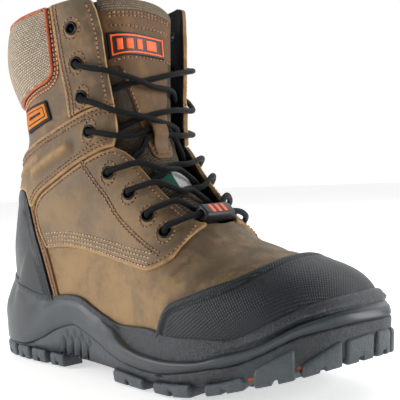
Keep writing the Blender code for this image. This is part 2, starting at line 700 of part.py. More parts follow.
def laces():
    """Crossings of the lace, its lowest bar, and the tag on the bar."""
    for k, edge_out, middle, edge_in in LACES:
        ways = [[(middle, 0.0, height)] for height in (LACE_OVER, LACE_UNDER)]
        if k == KEEPER_CROSSING:
            ways = [[(middle + shift, at, LACE_UNDER) for at in (9.0, -9.0)] for shift in (0.17, -0.17)]
        name = "lace_cross_%d" % k
        cords = [tube(strand(k, side, edge_out, edge_in, way), LACE_RADIUS, LACE_SIDES, LACE_STEPS)
                 for side, way in zip((-1, 1), ways)]
        ob = make(name, *cords[0], LOOKS["lace"])
        cut(ob, make(name + "_other", *cords[1]), "UNION")
    last = len(EYELETS)
    u = EYELETS[-1, 0]
    start = eyelet_base(last) + GAP + FLANGE_THICK + LACE_RADIUS + 0.6
    half_bar = []
    for side in (-1, 1):
        s = EYELETS[-1, 1 if side < 0 else 2]
        edge = throat(7.7, side) + 2.0
        half_bar.append([lift(u, side * s, start), lift(7.82, side * 0.5 * (s + edge), start + 0.4),
                         lift(7.7, side * edge, start - 0.4), lift(7.62, side * 9.0, 3.2)])
    path = half_bar[0] + half_bar[1][::-1]
    make("lace_bar_8", *tube(path, LACE_RADIUS, LACE_SIDES, 13), LOOKS["lace"])
    a, b = half_bar[0][-1], half_bar[1][-1]
    way = (b - a) / np.linalg.norm(b - a)
    up = normal(7.62, 0.0)
    up = up - way * np.dot(up, way)
    up /= np.linalg.norm(up)
    side = np.cross(way, up)
    hole = LACE_RADIUS + 0.75
    rings = []
    for at in (-8.0, 8.0):
        centre = 0.5 * (a + b) + way * at
        rings.append((np.array([centre + side * x + up * z for x, z in LACE_TAG]), centre))
    tag = make("lace_tag", *loft([rings[0][0], rings[1][0]]), LOOKS["patch"])
    bore = tube([rings[0][1] - 3 * way, rings[1][1] + 3 * way], hole, LACE_SIDES, 2)
    cut(tag, make("lace_tag_bore", *bore), "DIFFERENCE")


def pad_height(lattice):
    """Thickness of the collar pad over each point of the grid."""
    low, high = 18.4, 21.0
    rows = np.zeros(len(lattice.points))
    edge = np.zeros(len(lattice.points))
    for i, u in enumerate(ROWS):
        for j in range(lattice.columns):
            rows[lattice.ids[i, j]] = u
            edge[lattice.ids[i, j]] = 101.5 - lattice.points[lattice.ids[i, j], 0]
    a = np.clip((rows - low) / (high - low), 0, 1)
    swell = np.sin(math.pi * (0.02 + 0.86 * a)) ** 1.2
    swell *= np.where(rows < low, 0, 1) * np.clip(edge / 26.0, 0, 1) ** 0.7
    return 1.6 + PAD_BULGE * swell


def overlays():
    """Toe cap, counter, quarters, band, facings, tag and collar pad."""
    both, lateral, medial = (-95.0, 95.0), (-95.0, -3.0), (3.0, 95.0)
    lower = [(x, float(sole_value("top", min(x, SOLE_LENGTH))) + 0.8) for x in np.linspace(325, 200, 26)]
    panel("toe_cap", tuple(lower) + TOE_CAP_BORDER + ((325, 95),), both, GAP + PANEL, LOOKS["cap"])
    lower = [(x, float(sole_value("top", max(x, 0.0))) + 0.45) for x in np.linspace(-15, 84, 16)]
    panel("heel_counter", tuple(lower) + COUNTER_BORDER, both, GAP + PANEL, LOOKS["cap"])
    band = panel("ankle_band", BAND_TOP + BAND_LOW, both, GAP + BAND, LOOKS["leather"])
    cut(band, HOLES[-1], "DIFFERENCE")
    cut(band, HOLES[1], "DIFFERENCE")
    for side, limits, name in ((-1, lateral, "lateral"), (1, medial, "medial")):
        for part, outline in (("quarter_", QUARTER), ("facing_", FACING)):
            piece = panel(part + name, outline, limits, GAP + PANEL, LOOKS["leather"])
            cut(piece, HOLES[side], "DIFFERENCE")
    panel("side_tag", TAG_OUTLINE, lateral, GAP + TAG, LOOKS["patch"])
    panel("collar_pad", PAD, both, pad_height(LATTICE), LOOKS["mesh"])


for old in list(bpy.data.objects):
    bpy.data.objects.remove(old, do_unlink=True)
PARTS = bpy.data.collections.new("work_boot")
CUTTERS = bpy.data.collections.new("cutters")
bpy.context.scene.collection.children.link(PARTS)
bpy.context.scene.collection.children.link(CUTTERS)
LOOKS = {
    "sole": finish("dark_sole", (0.05, 0.05, 0.055), 0.6),
    "tread": finish("tread_rubber", (0.03, 0.03, 0.033), 0.65),
    "leather": finish("brown_leather", (0.25, 0.15, 0.07), 0.7),
    "upper": finish("upper_leather", (0.28, 0.17, 0.08), 0.7),
    "cap": finish("black_guard", (0.03, 0.03, 0.035), 0.5),
    "mesh": finish("padded_mesh", (0.25, 0.2, 0.14), 0.9),
    "patch": finish("woven_patch", (0.8, 0.2, 0.02), 0.6),
    "lace": finish("black_lace", (0.02, 0.02, 0.02), 0.8),
    "metal": finish("dark_metal", (0.12, 0.12, 0.13), 0.35, 1.0),
    "lining": finish("black_lining", (0.02, 0.02, 0.02), 0.9),
}
SOLE_FINE = np.array([smooth_row(SOLE, u) for u in np.linspace(0, len(SOLE) - 1, 401)])
LATTICE = Lattice()
HOLES = {}
eyelets()
upper = make("upper", *LATTICE.shell(-WALL, 0.0), LOOKS["upper"])
cut(upper, HOLES[-1], "DIFFERENCE")
cut(upper, HOLES[1], "DIFFERENCE")
midsole()
outsole()
insole()
overlays()
tongue_pieces()
laces()
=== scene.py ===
"""Looks of a lace-up leather work boot for the right foot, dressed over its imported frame.

Lengths are millimetres in the boot's own frame until a mesh is made: X runs from the back of the
heel to the toe, Y to the inner (medial) side of the foot, Z up from the floor. A place on the
upper is given as a section number, counted from the toe to the collar, and a signed length along
that section from the ridge of the instep, below zero on the outer (lateral) side.
"""
from __future__ import annotations

import logging
import math
from contextlib import contextmanager
from dataclasses import dataclass
from enum import Enum
from typing import Callable, Iterator, Sequence

import bpy
import numpy as np
from bpy.types import Material, Mesh, Node, NodeSocket, NodeTree, Object
from mathutils import Matrix

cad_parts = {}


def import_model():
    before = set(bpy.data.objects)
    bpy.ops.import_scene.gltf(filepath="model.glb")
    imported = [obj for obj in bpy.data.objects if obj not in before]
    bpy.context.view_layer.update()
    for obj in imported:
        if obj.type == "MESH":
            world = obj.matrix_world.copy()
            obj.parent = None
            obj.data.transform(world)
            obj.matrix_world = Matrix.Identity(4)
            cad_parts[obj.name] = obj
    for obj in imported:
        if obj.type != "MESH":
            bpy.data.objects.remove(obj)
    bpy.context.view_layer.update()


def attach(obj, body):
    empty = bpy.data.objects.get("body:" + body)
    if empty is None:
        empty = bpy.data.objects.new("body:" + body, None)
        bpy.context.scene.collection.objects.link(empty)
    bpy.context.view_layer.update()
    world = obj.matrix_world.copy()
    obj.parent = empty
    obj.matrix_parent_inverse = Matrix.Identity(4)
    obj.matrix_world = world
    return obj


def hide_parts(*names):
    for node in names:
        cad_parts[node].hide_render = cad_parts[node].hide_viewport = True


LOG = logging.getLogger("work_boot")
MM = 0.001
ORIGIN = np.array([153.8, -3.2, 0.0])

# Sizes shared with the solids
WALL = 2.6
GAP = 0.3
PANEL = 1.5
BAND = 2.1
TAG = 1.2
STRIP = 1.2
PAD_BULGE = 8.0
TONGUE_DEPTH = 9.4
TONGUE_THICK = 5.0
TONGUE_TUCK = 14.0
LACE_RADIUS = 2.2
CORD_RADIUS = 1.85
HOLE_RADIUS = 3.3
BARREL_RADIUS = 3.25
BORE_RADIUS = 2.75
FLANGE_RADIUS = 4.7
FLANGE_THICK = 0.9
LACE_OVER = -2.9
LACE_UNDER = -6.2
LUG_DEPTH = 19.0
INSOLE_THICK = 4.0
COLLAR = 21.0
THROAT_START = 7.2
FOOTBED_END = 13.6
# Points nearer than this are one
MEET = 0.02

# Cross-sections of the upper, toe first
SECTION_COLUMNS = ("top_x", "top_z", "base_x", "base_z", "ridge_y", "lateral", "medial",
                   "base_lateral", "base_medial", "widest", "crown_lateral", "crown_medial", "heel")
SECTIONS = np.array([
    (297.3, 34.0, 297.3, 32.0, 14.3, 0.6, 0.6, 0.5, 0.5, .40, 2.0, 2.0, 2.0),
    (296.0, 47.5, 295.4, 31.5, 13.5, 15.5, 12.2, 13.5, 10.3, .45, 2.2, 2.2, 2.0),
    (291.0, 58.0, 289.8, 30.0, 12.3, 26.5, 20.5, 24.0, 18.6, .42, 2.3, 2.3, 2.0),
    (281.3, 65.5, 280.0, 27.5, 10.4, 37.0, 29.2, 34.0, 26.8, .38, 2.35, 2.3, 2.0),
    (266.5, 71.0, 265.4, 24.5, 7.3, 45.3, 36.8, 41.8, 33.8, .35, 2.3, 2.25, 2.0),
    (248.0, 75.5, 246.0, 21.0, 4.0, 50.5, 42.3, 47.0, 38.3, .33, 2.2, 2.15, 2.0),
    (228.0, 81.0, 224.0, 18.5, 1.0, 52.5, 45.0, 48.0, 41.5, .32, 2.1, 2.1, 2.0),
    (209.0, 90.0, 199.0, 18.0, -0.5, 51.0, 45.5, 46.0, 41.0, .32, 2.0, 2.1, 2.0),
    (193.0, 103.0, 171.0, 18.5, -1.0, 47.5, 43.5, 42.0, 37.0, .34, 2.0, 2.2, 2.0),
    (180.0, 117.0, 139.0, 20.0, -1.0, 44.0, 41.0, 38.0, 32.0, .36, 2.1, 2.4, 2.0),
    (169.0, 130.5, 104.0, 24.0, -1.0, 42.0, 39.5, 37.0, 31.0, .38, 2.2, 2.6, 2.0),
    (161.5, 143.0, 70.0, 27.0, -1.0, 41.5, 39.5, 37.5, 33.5, .42, 2.3, 2.8, 2.0),
    (156.5, 155.0, 39.0, 28.0, -1.0, 41.7, 41.0, 32.5, 31.0, .46, 2.4, 3.0, 2.0),
    (153.5, 166.0, 18.0, 28.5, -1.0, 42.2, 42.5, 20.0, 19.0, .48, 2.5, 3.2, 2.0),
    (152.0, 176.0, 8.6, 30.0, -1.0, 42.0, 44.0, 0.0, 0.0, .50, 2.6, 3.4, 2.0),
    (151.0, 185.0, 6.0, 58.0, -1.0, 41.5, 45.0, 0.0, 0.0, .50, 2.6, 3.5, 2.0),
    (150.5, 193.0, 14.6, 92.0, -1.0, 41.0, 45.5, 0.0, 0.0, .50, 2.6, 3.6, 2.0),
    (150.0, 201.0, 26.4, 123.0, -1.0, 41.2, 46.0, 0.0, 0.0, .50, 2.6, 3.6, 2.0),
    (149.5, 209.0, 32.4, 151.0, -1.0, 42.2, 46.5, 0.0, 0.0, .50, 2.6, 3.6, 2.0),
    (149.0, 218.0, 33.4, 177.0, -1.0, 43.8, 47.5, 0.0, 0.0, .50, 2.6, 3.6, 2.0),
    (148.5, 228.0, 32.0, 203.0, -1.0, 45.0, 49.0, 0.0, 0.0, .50, 2.6, 3.6, 2.0),
    (148.0, 238.0, 30.2, 227.0, -1.0, 46.0, 50.5, 0.0, 0.0, .50, 2.6, 3.6, 2.0),
])

# Throat edge: section, and length from the ridge to the edge of each flap
THROAT = np.array([
    (7.2, 0.0, 0.0), (7.28, 9.0, 9.0), (7.42, 15.0, 15.0), (7.7, 17.5, 18.0), (8.3, 19.5, 20.0),
    (9.0, 22.0, 22.0), (10.0, 24.5, 25.0), (11.0, 27.5, 31.0), (11.5, 31.0, 36.0),
    (12.2, 38.5, 44.0), (12.8, 32.5, 40.0), (13.4, 32.0, 40.0), (15.0, 32.5, 41.0),
    (17.0, 33.5, 41.5), (19.0, 34.0, 41.0), (20.2, 36.5, 44.0), (20.7, 39.0, 48.0),
    (21.0, 44.0, 54.0),
])

# Eyelets from the top: section, and length from the ridge on either flap
EYELETS = np.array([
    (19.72, 54.1, 61.0), (18.09, 54.3, 61.5), (16.26, 55.3, 62.0), (14.13, 54.5, 61.0),
    (11.37, 46.9, 51.0), (10.03, 40.1, 40.6), (8.90, 38.3, 38.3), (8.01, 36.5, 37.0),
])

# Lace crossings: upper eyelet, section at the throat edge going out, middle, and edge coming in
LACES = ((2, 16.75, 15.05, 15.4), (3, 14.0, 12.8, 13.0), (4, 12.6, 11.85, 11.3),
         (5, 10.7, 10.15, 10.0), (6, 9.5, 9.05, 8.92), (7, 8.45, 8.1, 8.0))
KEEPER_CROSSING = 4
# Section numbers by which the outer strand of each crossing hangs lower at the ridge
LACE_FALL = {2: 0.55, 3: 0.5, 4: 0.2, 5: 0.35, 6: 0.2, 7: 0.1}

# The sole, heel first: outline, top of its cup, split, underside and tread heights, rim width
SOLE_COLUMNS = ("x", "lateral", "medial", "top", "split", "under", "tread", "rim")
SOLE = np.array([
    (0.0, 0.0, 0.0, 55.0, 17.0, 9.0, 3.0, 2.6),
    (2.0, -16.5, 14.0, 54.8, 17.0, 8.5, 2.0, 2.6),
    (8.0, -28.5, 25.0, 54.0, 16.5, 8.0, 0.4, 2.6),
    (18.0, -36.0, 32.5, 53.0, 16.0, 7.5, 0.0, 2.6),
    (35.0, -41.2, 37.8, 51.6, 16.0, 7.5, 0.0, 2.4),
    (55.0, -43.8, 40.0, 49.6, 16.0, 7.5, 0.0, 2.2),
    (78.0, -45.0, 40.5, 47.0, 16.5, 10.5, 0.0, 2.2),
    (102.0, -45.5, 39.5, 48.6, 17.0, 11.5, 0.0, 2.2),
    (128.0, -48.0, 40.0, 43.0, 16.0, 10.5, 0.0, 2.2),
    (152.0, -52.0, 43.5, 35.6, 15.0, 7.5, 0.0, 2.2),
    (175.0, -55.5, 47.5, 35.0, 14.6, 6.5, 0.0, 2.2),
    (198.0, -58.0, 51.0, 34.6, 14.4, 6.5, 0.0, 2.2),
    (220.0, -58.5, 52.0, 33.8, 14.8, 6.7, 0.4, 2.2),
    (240.0, -56.0, 51.3, 35.6, 16.4, 8.5, 3.4, 2.2),
    (258.0, -50.5, 49.4, 39.0, 18.6, 11.8, 7.4, 2.6),
    (272.5, -43.0, 46.8, 45.0, 21.4, 14.8, 10.6, 3.4),
    (285.0, -33.5, 42.6, 52.0, 24.2, 18.4, 13.8, 4.2),
    (295.0, -21.5, 36.6, 55.4, 26.6, 21.2, 17.2, 5.6),
    (302.5, -8.0, 29.4, 56.6, 28.4, 23.2, 19.6, 6.6),
    (306.3, 4.2, 22.6, 57.0, 29.2, 24.4, 20.8, 6.6),
    (307.6, 14.2, 14.2, 57.0, 29.5, 24.8, 21.2, 6.6),
])

# Top edge of the sole's cup, X and Z
CUP_TOP = ((0, 60.5), (6, 59.8), (20, 57.2), (50, 50.9), (72, 46.9), (90, 47.6), (104, 48.8), (118, 47.7),
           (130, 42.7), (145, 37.6),
           (156, 34.6), (171, 34.8), (187, 35.6), (199, 34.6), (207, 33.4), (230, 33.6), (246, 33.8),
           (255, 35.6), (264, 40.2),
           (275, 46.4), (287, 53.6), (296, 56.8), (303, 58), (311, 58))

# Lines along the side of the sole, X and Z: lip of the smooth wave, groove under it, top of the lugs
LIP = ((0, 60), (120, 49), (138, 39.0), (146, 34.5), (163, 26.4), (181, 21.7), (198, 20.0), (212, 19.8),
       (225, 20.6), (237, 22.2), (246, 25), (260, 28.6), (270, 32.2), (278, 36.8), (286, 41.6), (293, 44.6),
       (300, 47), (307, 48), (311, 48))
GROOVE = ((0, 13.0), (18, 11.0), (29, 10.4), (50, 11.6), (71, 17.8), (88, 25.0), (105, 29.5), (112, 29.6),
          (122, 27.0), (137, 22.2), (152, 17.6), (166, 14.1), (180, 12.4), (197, 12.0), (211, 13.0),
          (229, 16.1),
          (241, 18.8), (255, 21.4), (268, 26.6), (277, 31.6), (286, 36.4), (297, 39.6), (303, 41.2),
          (311, 41.8))
LUG_TOP = ((0, 11.5), (20, 9.8), (60, 9.5), (100, 8.5), (156, 8.2), (190, 6.6), (210, 7.4), (229, 9.0),
           (245, 11.2),
           (260, 15.5), (270, 20.0), (281, 26.5), (290, 29.5), (300, 33.0), (311, 36.0))
LUG_ENDS = ((156, 189), (198, 229), (238, 261))
TOE_LUGS = ((265.8, 284.4, 19.2, 31.0), (286.7, 299.9, 21.5, 33.3), (300.8, 306.6, 32.7, 35.2))
INSERT_SPOTS = ((261.5, 266.0), (284.2, 287.0))
HEEL_LUG_ENDS = ((37, 54), (57, 75), (80, 96), (13.0, 33.5))
TOE_LUG_END = 306.85
HEEL_LUG_START = 9.5
FOREFOOT_BARS = (170.0, 189.0, 208.0, 227.0, 246.0, 264.0)
HEEL_BARS = (30.0, 50.0, 69.0)

# Side outlines of the overlays, X and Z
TOE_CAP_BORDER = ((196, 30), (199.5, 36), (203, 42.4), (210, 50.3), (222.5, 55.5), (244, 63), (254, 69),
                  (258, 74), (260, 84))
COUNTER_BORDER = ((88, 36), (84, 47.3), (79, 62), (73.5, 80), (66, 100), (61.5, 111))
COUNTER_TOP = ((56, 116.4), (34, 117.4), (12, 118.4), (-15, 119))
BAND_TOP = ((-15, 128), (20, 133), (63, 145), (111.5, 161.6), (132.5, 168.3), (155, 168))
BAND_LOW = ((155, 144.5), (141, 142.2), (133, 139.9), (118, 133.4), (93, 121.6), (81, 116.2), (74.5, 111.8),
            (70, 106.6),
            (65.6, 106.2), (62, 112.4), (56, 116.9), (34, 117.9), (12, 119), (-15, 119.6))
QUARTER_REAR = ((81.6, 78.6), (76.6, 87.4), (73.2, 96), (71.8, 102), (72.6, 106.2))
QUARTER_TOP = ((72.6, 106.2), (75.8, 110.6), (81.4, 114.8), (93, 120.4), (118, 132.3), (133, 138.8),
               (141, 141.2),
               (147, 144), (172, 152))
QUARTER_FRONT = ((203.5, 92.5), (205.2, 86), (204.6, 79.4), (199, 73), (192, 69.4), (184.7, 67.3))
QUARTER_LOW = ((184.7, 67.3), (168, 70.2), (147.4, 74), (128, 77.4), (112, 79.4), (98, 79.6), (88, 78.7),
               (81.6, 78.6))
STRIP_REAR = ((88.0, 40), (84.9, 50), (79.9, 64), (74.6, 80), (67.4, 100), (64.4, 108))
STRIP_FRONT = ((71.4, 108), (70.9, 102), (72.3, 96), (75.6, 87.4), (80.7, 78.6), (85.6, 64), (90.2, 50),
               (93.0, 40))
FACING_REAR = ((106, 255), (106, 231), (107.8, 206.6), (111.3, 162.4))
FACING_LOW = ((111.3, 162.4), (132.5, 169), (180, 168.6))
TAG_OUTLINE = ((59, 171.5), (90.6, 176.1), (94.5, 162.9), (61.5, 155.4))
TAG_AXES = np.array([(0.98, 0.199), (-0.199, 0.98)])
PAD_BORDER = ((101.4, 255), (101.6, 225), (101.8, 200), (100.6, 193.6), (97, 189.6), (92, 187.4), (86, 186),
              (67, 181),
              (20, 168), (-20, 164))


class Side(Enum):
    """Side of the foot, with the sign of its lengths from the ridge."""

    LATERAL = -1
    MEDIAL = 1


def smooth_rows(table: np.ndarray, at: np.ndarray) -> np.ndarray:
    """Rows between the rows of a table, on smooth curves through them.

    Args:
        table: Rows of numbers.
        at: Row numbers, which may lie between rows.

    Returns:
        One row for each number.
    """
    last = len(table) - 1
    i = np.clip(np.floor(at).astype(int), 0, last - 1)
    t = (at - i)[:, None]
    a, b, c, d = (table[np.clip(i + k, 0, last)] for k in (-1, 0, 1, 2))
    bend = (2 * a - 5 * b + 4 * c - d) * t ** 2 + (3 * b - a - 3 * c + d) * t ** 3
    return 0.5 * (2 * b + (c - a) * t + bend)


def smooth_line(points: Sequence[Sequence[float]], steps: int = 8) -> np.ndarray:
    """A smooth line through a few points of any dimension."""
    table = np.array(points, float)
    return smooth_rows(table, np.linspace(0, len(table) - 1, steps * (len(table) - 1) + 1))


def even_line(points: np.ndarray, pitch: float) -> np.ndarray:
    """The same line with points at an even pitch."""
    run = np.r_[0, np.cumsum(np.linalg.norm(np.diff(points, axis=0), axis=1))]
    at = np.linspace(0, run[-1], max(2, int(round(run[-1] / pitch)) + 1))
    return np.stack([np.interp(at, run, points[:, k]) for k in range(points.shape[1])], 1)


def offset_line(points: np.ndarray, distance: float) -> np.ndarray:
    """A flat line moved to its left, or to its right below zero."""
    way = np.gradient(points, axis=0)
    return points + distance * unit(np.stack([-way[:, 1], way[:, 0]], 1))


def unit(vectors: np.ndarray) -> np.ndarray:
    """Vectors of the same directions, of length 1."""
    return vectors / np.maximum(np.linalg.norm(vectors, axis=-1, keepdims=True), 1e-9)


def soft_step(x: np.ndarray, low: float, high: float) -> np.ndarray:
    """A smooth rise from 0 at low to 1 at high."""
    t = np.clip((np.asarray(x, float) - low) / (high - low), 0, 1)
    return t * t * (3 - 2 * t)


def table_at(table: Sequence[Sequence[float]], x: np.ndarray) -> np.ndarray:
    """Heights of a smooth line over X."""
    line = smooth_line(table)
    return np.interp(x, line[:, 0], line[:, 1])


def inside_depth(points: np.ndarray, outline: np.ndarray) -> tuple[np.ndarray, np.ndarray]:
    """Signed distance of flat points to a closed outline, above zero inside.

    Args:
        points: Points to measure.
        outline: Corners of the outline.

    Returns:
        The distances, and the direction in which each one grows.
    """
    best = np.full(len(points), np.inf)
    toward = np.zeros_like(points)
    crossings = np.zeros(len(points), int)
    for a, b in zip(outline, np.roll(outline, -1, axis=0)):
        edge = b - a
        t = np.clip((points - a) @ edge / max(edge @ edge, 1e-12), 0, 1)
        gap = points - a - t[:, None] * edge
        length = np.linalg.norm(gap, axis=1)
        nearer = length < best
        best = np.where(nearer, length, best)
        toward[nearer] = gap[nearer] / np.maximum(length[nearer], 1e-9)[:, None]
        spans = (a[1] > points[:, 1]) != (b[1] > points[:, 1])
        rise = edge[1] if abs(edge[1]) > 1e-12 else 1e-12
        crossings += spans & (points[:, 0] < a[0] + (points[:, 1] - a[1]) * edge[0] / rise)
    sign = np.where(crossings % 2 == 1, 1.0, -1.0)
    return best * sign, toward * sign[:, None]


class Last:
    """The upper's outside as a smooth surface."""

    STEP = 0.02
    ALONG = 161
    ROUND = 48

    def __init__(self) -> None:
        """Works out every section once."""
        self.sections = np.arange(0.0, COLLAR + 1e-9, self.STEP)
        rows = smooth_rows(SECTIONS, self.sections)
        self.columns = {name: rows[:, k] for k, name in enumerate(SECTION_COLUMNS)}
        self.grid: dict[int, np.ndarray] = {}
        self.length: dict[int, np.ndarray] = {}
        for side in Side:
            self.grid[side.value], self.length[side.value] = self._half(side)

    def _half(self, side: Side) -> tuple[np.ndarray, np.ndarray]:
        """One side of every section, at even lengths from the ridge."""
        c = {name: value[:, None] for name, value in self.columns.items()}
        name = side.name.lower()
        wide = c[name]
        base = np.maximum(c["base_" + name], 0.0)
        crown = 2 / c["crown_" + name]
        heel = 2 / c["heel"]
        a = np.linspace(math.pi / 2, 0, self.ROUND)[None]
        b = np.linspace(0, math.pi / 2, self.ROUND)[None, 1:]
        e = c["widest"]
        along = np.hstack([e + (1 - e) * np.sin(a) ** crown, e * (1 - np.sin(b) ** heel)])
        out = np.hstack([wide * np.abs(np.cos(a)) ** crown,
                         base + (wide - base) * np.abs(np.cos(b)) ** heel])
        points = np.stack([c["base_x"] + along * (c["top_x"] - c["base_x"]), c["ridge_y"] + side.value * out,
                           c["base_z"] + along * (c["top_z"] - c["base_z"])], 2)
        run = np.cumsum(np.linalg.norm(np.diff(points, axis=1), axis=2), axis=1)
        run = np.hstack([np.zeros((len(run), 1)), run])
        even = np.linspace(0, 1, self.ALONG)
        grid = np.array([[np.interp(even * r[-1], r, p[:, k]) for k in range(3)]
                         for r, p in zip(run, points)])
        return grid.transpose(0, 2, 1), run[:, -1]

    def reach(self, u: np.ndarray, side: int) -> np.ndarray:
        """Length of a section from the ridge to its base."""
        return np.interp(u, self.sections, self.length[side])

    def at(self, u: np.ndarray, s: np.ndarray) -> np.ndarray:
        """Points of the surface.

        Args:
            u: Section numbers.
            s: Signed lengths from the ridge.

        Returns:
            One point for each pair.
        """
        u, s = np.broadcast_arrays(np.asarray(u, float), np.asarray(s, float))
        f = np.clip(u, 0, COLLAR) / self.STEP
        i = np.minimum(f.astype(int), len(self.sections) - 2)
        w = f - i
        result = np.zeros(u.shape + (3,))
        for side in (-1, 1):
            mask = (s < 0) == (side < 0)
            for k, weight in ((i[mask], 1 - w[mask]), (i[mask] + 1, w[mask])):
                t = np.clip(np.abs(s[mask]) / self.length[side][k], 0, 1) * (self.ALONG - 1)
                j = np.minimum(t.astype(int), self.ALONG - 2)
                v = (t - j)[:, None]
                line = self.grid[side]
                result[mask] += weight[:, None] * (line[k, j] * (1 - v) + line[k, j + 1] * v)
        return result

    def normal(self, u: np.ndarray, s: np.ndarray) -> np.ndarray:
        """Outward directions of the surface at section numbers and lengths."""
        u, s = np.broadcast_arrays(np.asarray(u, float), np.asarray(s, float))
        limit = np.where(s < 0, self.reach(u, -1), self.reach(u, 1)) - 1.0
        s = np.clip(s, -limit, limit)
        across = self.at(u, s + 1.0) - self.at(u, s - 1.0)
        up = self.at(u + 0.05, s) - self.at(u - 0.05, s)
        return unit(np.cross(across, up))

    def lift(self, u: np.ndarray, s: np.ndarray, height: np.ndarray) -> np.ndarray:
        """Points at a height over the surface, or inside it below zero."""
        return self.at(u, s) + np.asarray(height, float)[..., None] * self.normal(u, s)

    def find(self, line: np.ndarray, side: Side) -> np.ndarray:
        """Places on the surface of a line drawn on the boot's side view.

        Args:
            line: X and Z of each point.
            side: Side of the foot.

        Returns:
            Section number and signed length of each point.
        """
        c = self.columns
        base = np.stack([c["base_x"], c["base_z"]], 1)
        rise = np.stack([c["top_x"], c["top_z"]], 1) - base
        found = []
        for q in line:
            turn = rise[:, 0] * (q[1] - base[:, 1]) - rise[:, 1] * (q[0] - base[:, 0])
            flips = np.nonzero((turn[:-1] < 0) & (turn[1:] >= 0))[0]
            if len(flips) == 0:
                flips = np.nonzero((turn[:-1] > 0) & (turn[1:] <= 0))[0]
            k = int(flips[-1]) if len(flips) else (0 if abs(turn[0]) < abs(turn[-1]) else len(turn) - 2)
            t = turn[k] / (turn[k] - turn[k + 1]) if turn[k] != turn[k + 1] else 0.0
            t = min(max(t, 0.0), 1.0)
            part = float((q - base[k]) @ rise[k] / (rise[k] @ rise[k]))
            along = (self.grid[side.value][k][:, (0, 2)] - base[k]) @ rise[k] / (rise[k] @ rise[k])
            share = np.interp(part, along[::-1], np.linspace(1, 0, self.ALONG))
            found.append((self.sections[k] + t * self.STEP, side.value * share * self.length[side.value][k]))
        return np.array(found)


def throat(u: np.ndarray, side: int) -> np.ndarray:
    """Length from the ridge to a flap's edge."""
    return np.interp(u, THROAT[:, 0], THROAT[:, 1 if side < 0 else 2])


@dataclass(frozen=True)
class Crease:
    """A soft trough or ridge worked into the leather, drawn on the side view."""

    line: tuple[tuple[float, float], ...]
    width: float
    rise: float


CREASES = (
    Crease(((73, 129.6), (90, 136.6), (109, 143.6)), 3.6, 2.6),
    Crease(((52, 127), (62, 133), (76, 139)), 2.6, 1.2),
    Crease(((229, 70), (224, 60), (214, 52)), 5.0, -0.7),
    Crease(((240, 77), (233, 68), (224, 58)), 3.5, -0.35),
    Crease(((219, 84), (215, 74), (209, 62)), 5.5, -0.6),
    Crease(((150, 118), (137, 112), (120, 107)), 7.0, -0.9),
    Crease(((130, 101), (114, 99), (98, 100)), 6.0, -0.5),
    Crease(((40, 150), (58, 153), (78, 160)), 5.0, -0.7),
    Crease(((98, 152), (112, 156), (126, 158)), 5.0, -0.5),
    Crease(((118, 180), (126, 190), (128, 204)), 6.0, -0.5),
    Crease(((150, 55), (170, 48), (190, 46)), 9.0, -0.7),
    Crease(((108, 60), (128, 52), (140, 44)), 8.0, 0.5),
)


class Relief:
    """Height that creases and slack give to every leather layer alike."""

    SLACK = 0.16
    SHOULDER = 0.35
    CREST = 1.0
    CREST_HIGHLIGHT = 0.85

    def __init__(self, last: Last) -> None:
        """Lays each crease on the surface."""
        self.lines = []
        for crease in CREASES:
            for side in Side:
                place = last.find(smooth_line(crease.line, 5), side)
                self.lines.append((last.at(place[:, 0], place[:, 1]), crease))

    @staticmethod
    def gap(flat: np.ndarray, line: np.ndarray) -> np.ndarray:
        """Distances of points from a line."""
        near = np.full(len(flat), np.inf)
        for a, b in zip(line[:-1], line[1:]):
            edge = b - a
            t = np.clip((flat - a) @ edge / (edge @ edge), 0, 1)
            near = np.minimum(near, np.linalg.norm(flat - a - t[:, None] * edge, axis=1))
        return near

    def crest_highlight(self, points: np.ndarray) -> np.ndarray:
        """Painted highlight on the crests of the raised lines."""
        wear = np.zeros(len(points))
        for line, crease in self.lines:
            if crease.rise > self.CREST:
                near = self.gap(points, line) / crease.width
                wear = np.maximum(wear, self.CREST_HIGHLIGHT * np.exp(-near ** 2))
        return wear

    def at(self, points: np.ndarray) -> np.ndarray:
        """Heights to add over points of the surface."""
        flat = points.reshape(-1, 3)
        x, y, z = flat.T
        height = self.SLACK * np.sin(x / 9.0 + z / 14.0) * np.sin(y / 11.0 + z / 8.0)
        for line, crease in self.lines:
            near = self.gap(flat, line)
            height += crease.rise * np.exp(-(near / crease.width) ** 2)
            beside = (near - 2.0 * crease.width) / crease.width
            height -= self.SHOULDER * crease.rise * np.exp(-beside ** 2)
        return height.reshape(points.shape[:-1])


def select_only(ob: Object) -> None:
    """Makes one object the only selected and the active one."""
    bpy.ops.object.select_all(action="DESELECT")
    ob.select_set(True)
    bpy.context.view_layer.objects.active = ob


def placed(at: Sequence[float], x: np.ndarray, y: np.ndarray, z: np.ndarray) -> Matrix:
    """The matrix that moves to a place and turns to three axes."""
    return Matrix.Translation(at) @ Matrix(np.stack([x, y, z], 1).tolist()).to_4x4()


@contextmanager
def editing(ob: Object) -> Iterator[None]:
    """Edit mode with all of a piece selected."""
    select_only(ob)
    bpy.ops.object.mode_set(mode="EDIT")
    bpy.ops.mesh.select_all(action="SELECT")
    yield
    bpy.ops.object.mode_set(mode="OBJECT")


def outwards(ob: Object) -> None:
    """Turns all faces of a closed piece outwards."""
    with editing(ob):
        bpy.ops.mesh.normals_make_consistent(inside=False)


def weld(ob: Object) -> None:
    """Merges the points of a piece that meet."""
    with editing(ob):
        bpy.ops.mesh.remove_doubles(threshold=MEET * MM)


def drop_loose(ob: Object) -> None:
    """Deletes points that no face uses."""
    with editing(ob):
        bpy.ops.mesh.delete_loose(use_verts=True, use_edges=True, use_faces=False)


def join(pieces: Sequence[Object]) -> Object:
    """Joins pieces into the first one."""
    select_only(pieces[0])
    for piece in pieces:
        piece.select_set(True)
    bpy.ops.object.join()
    return pieces[0]


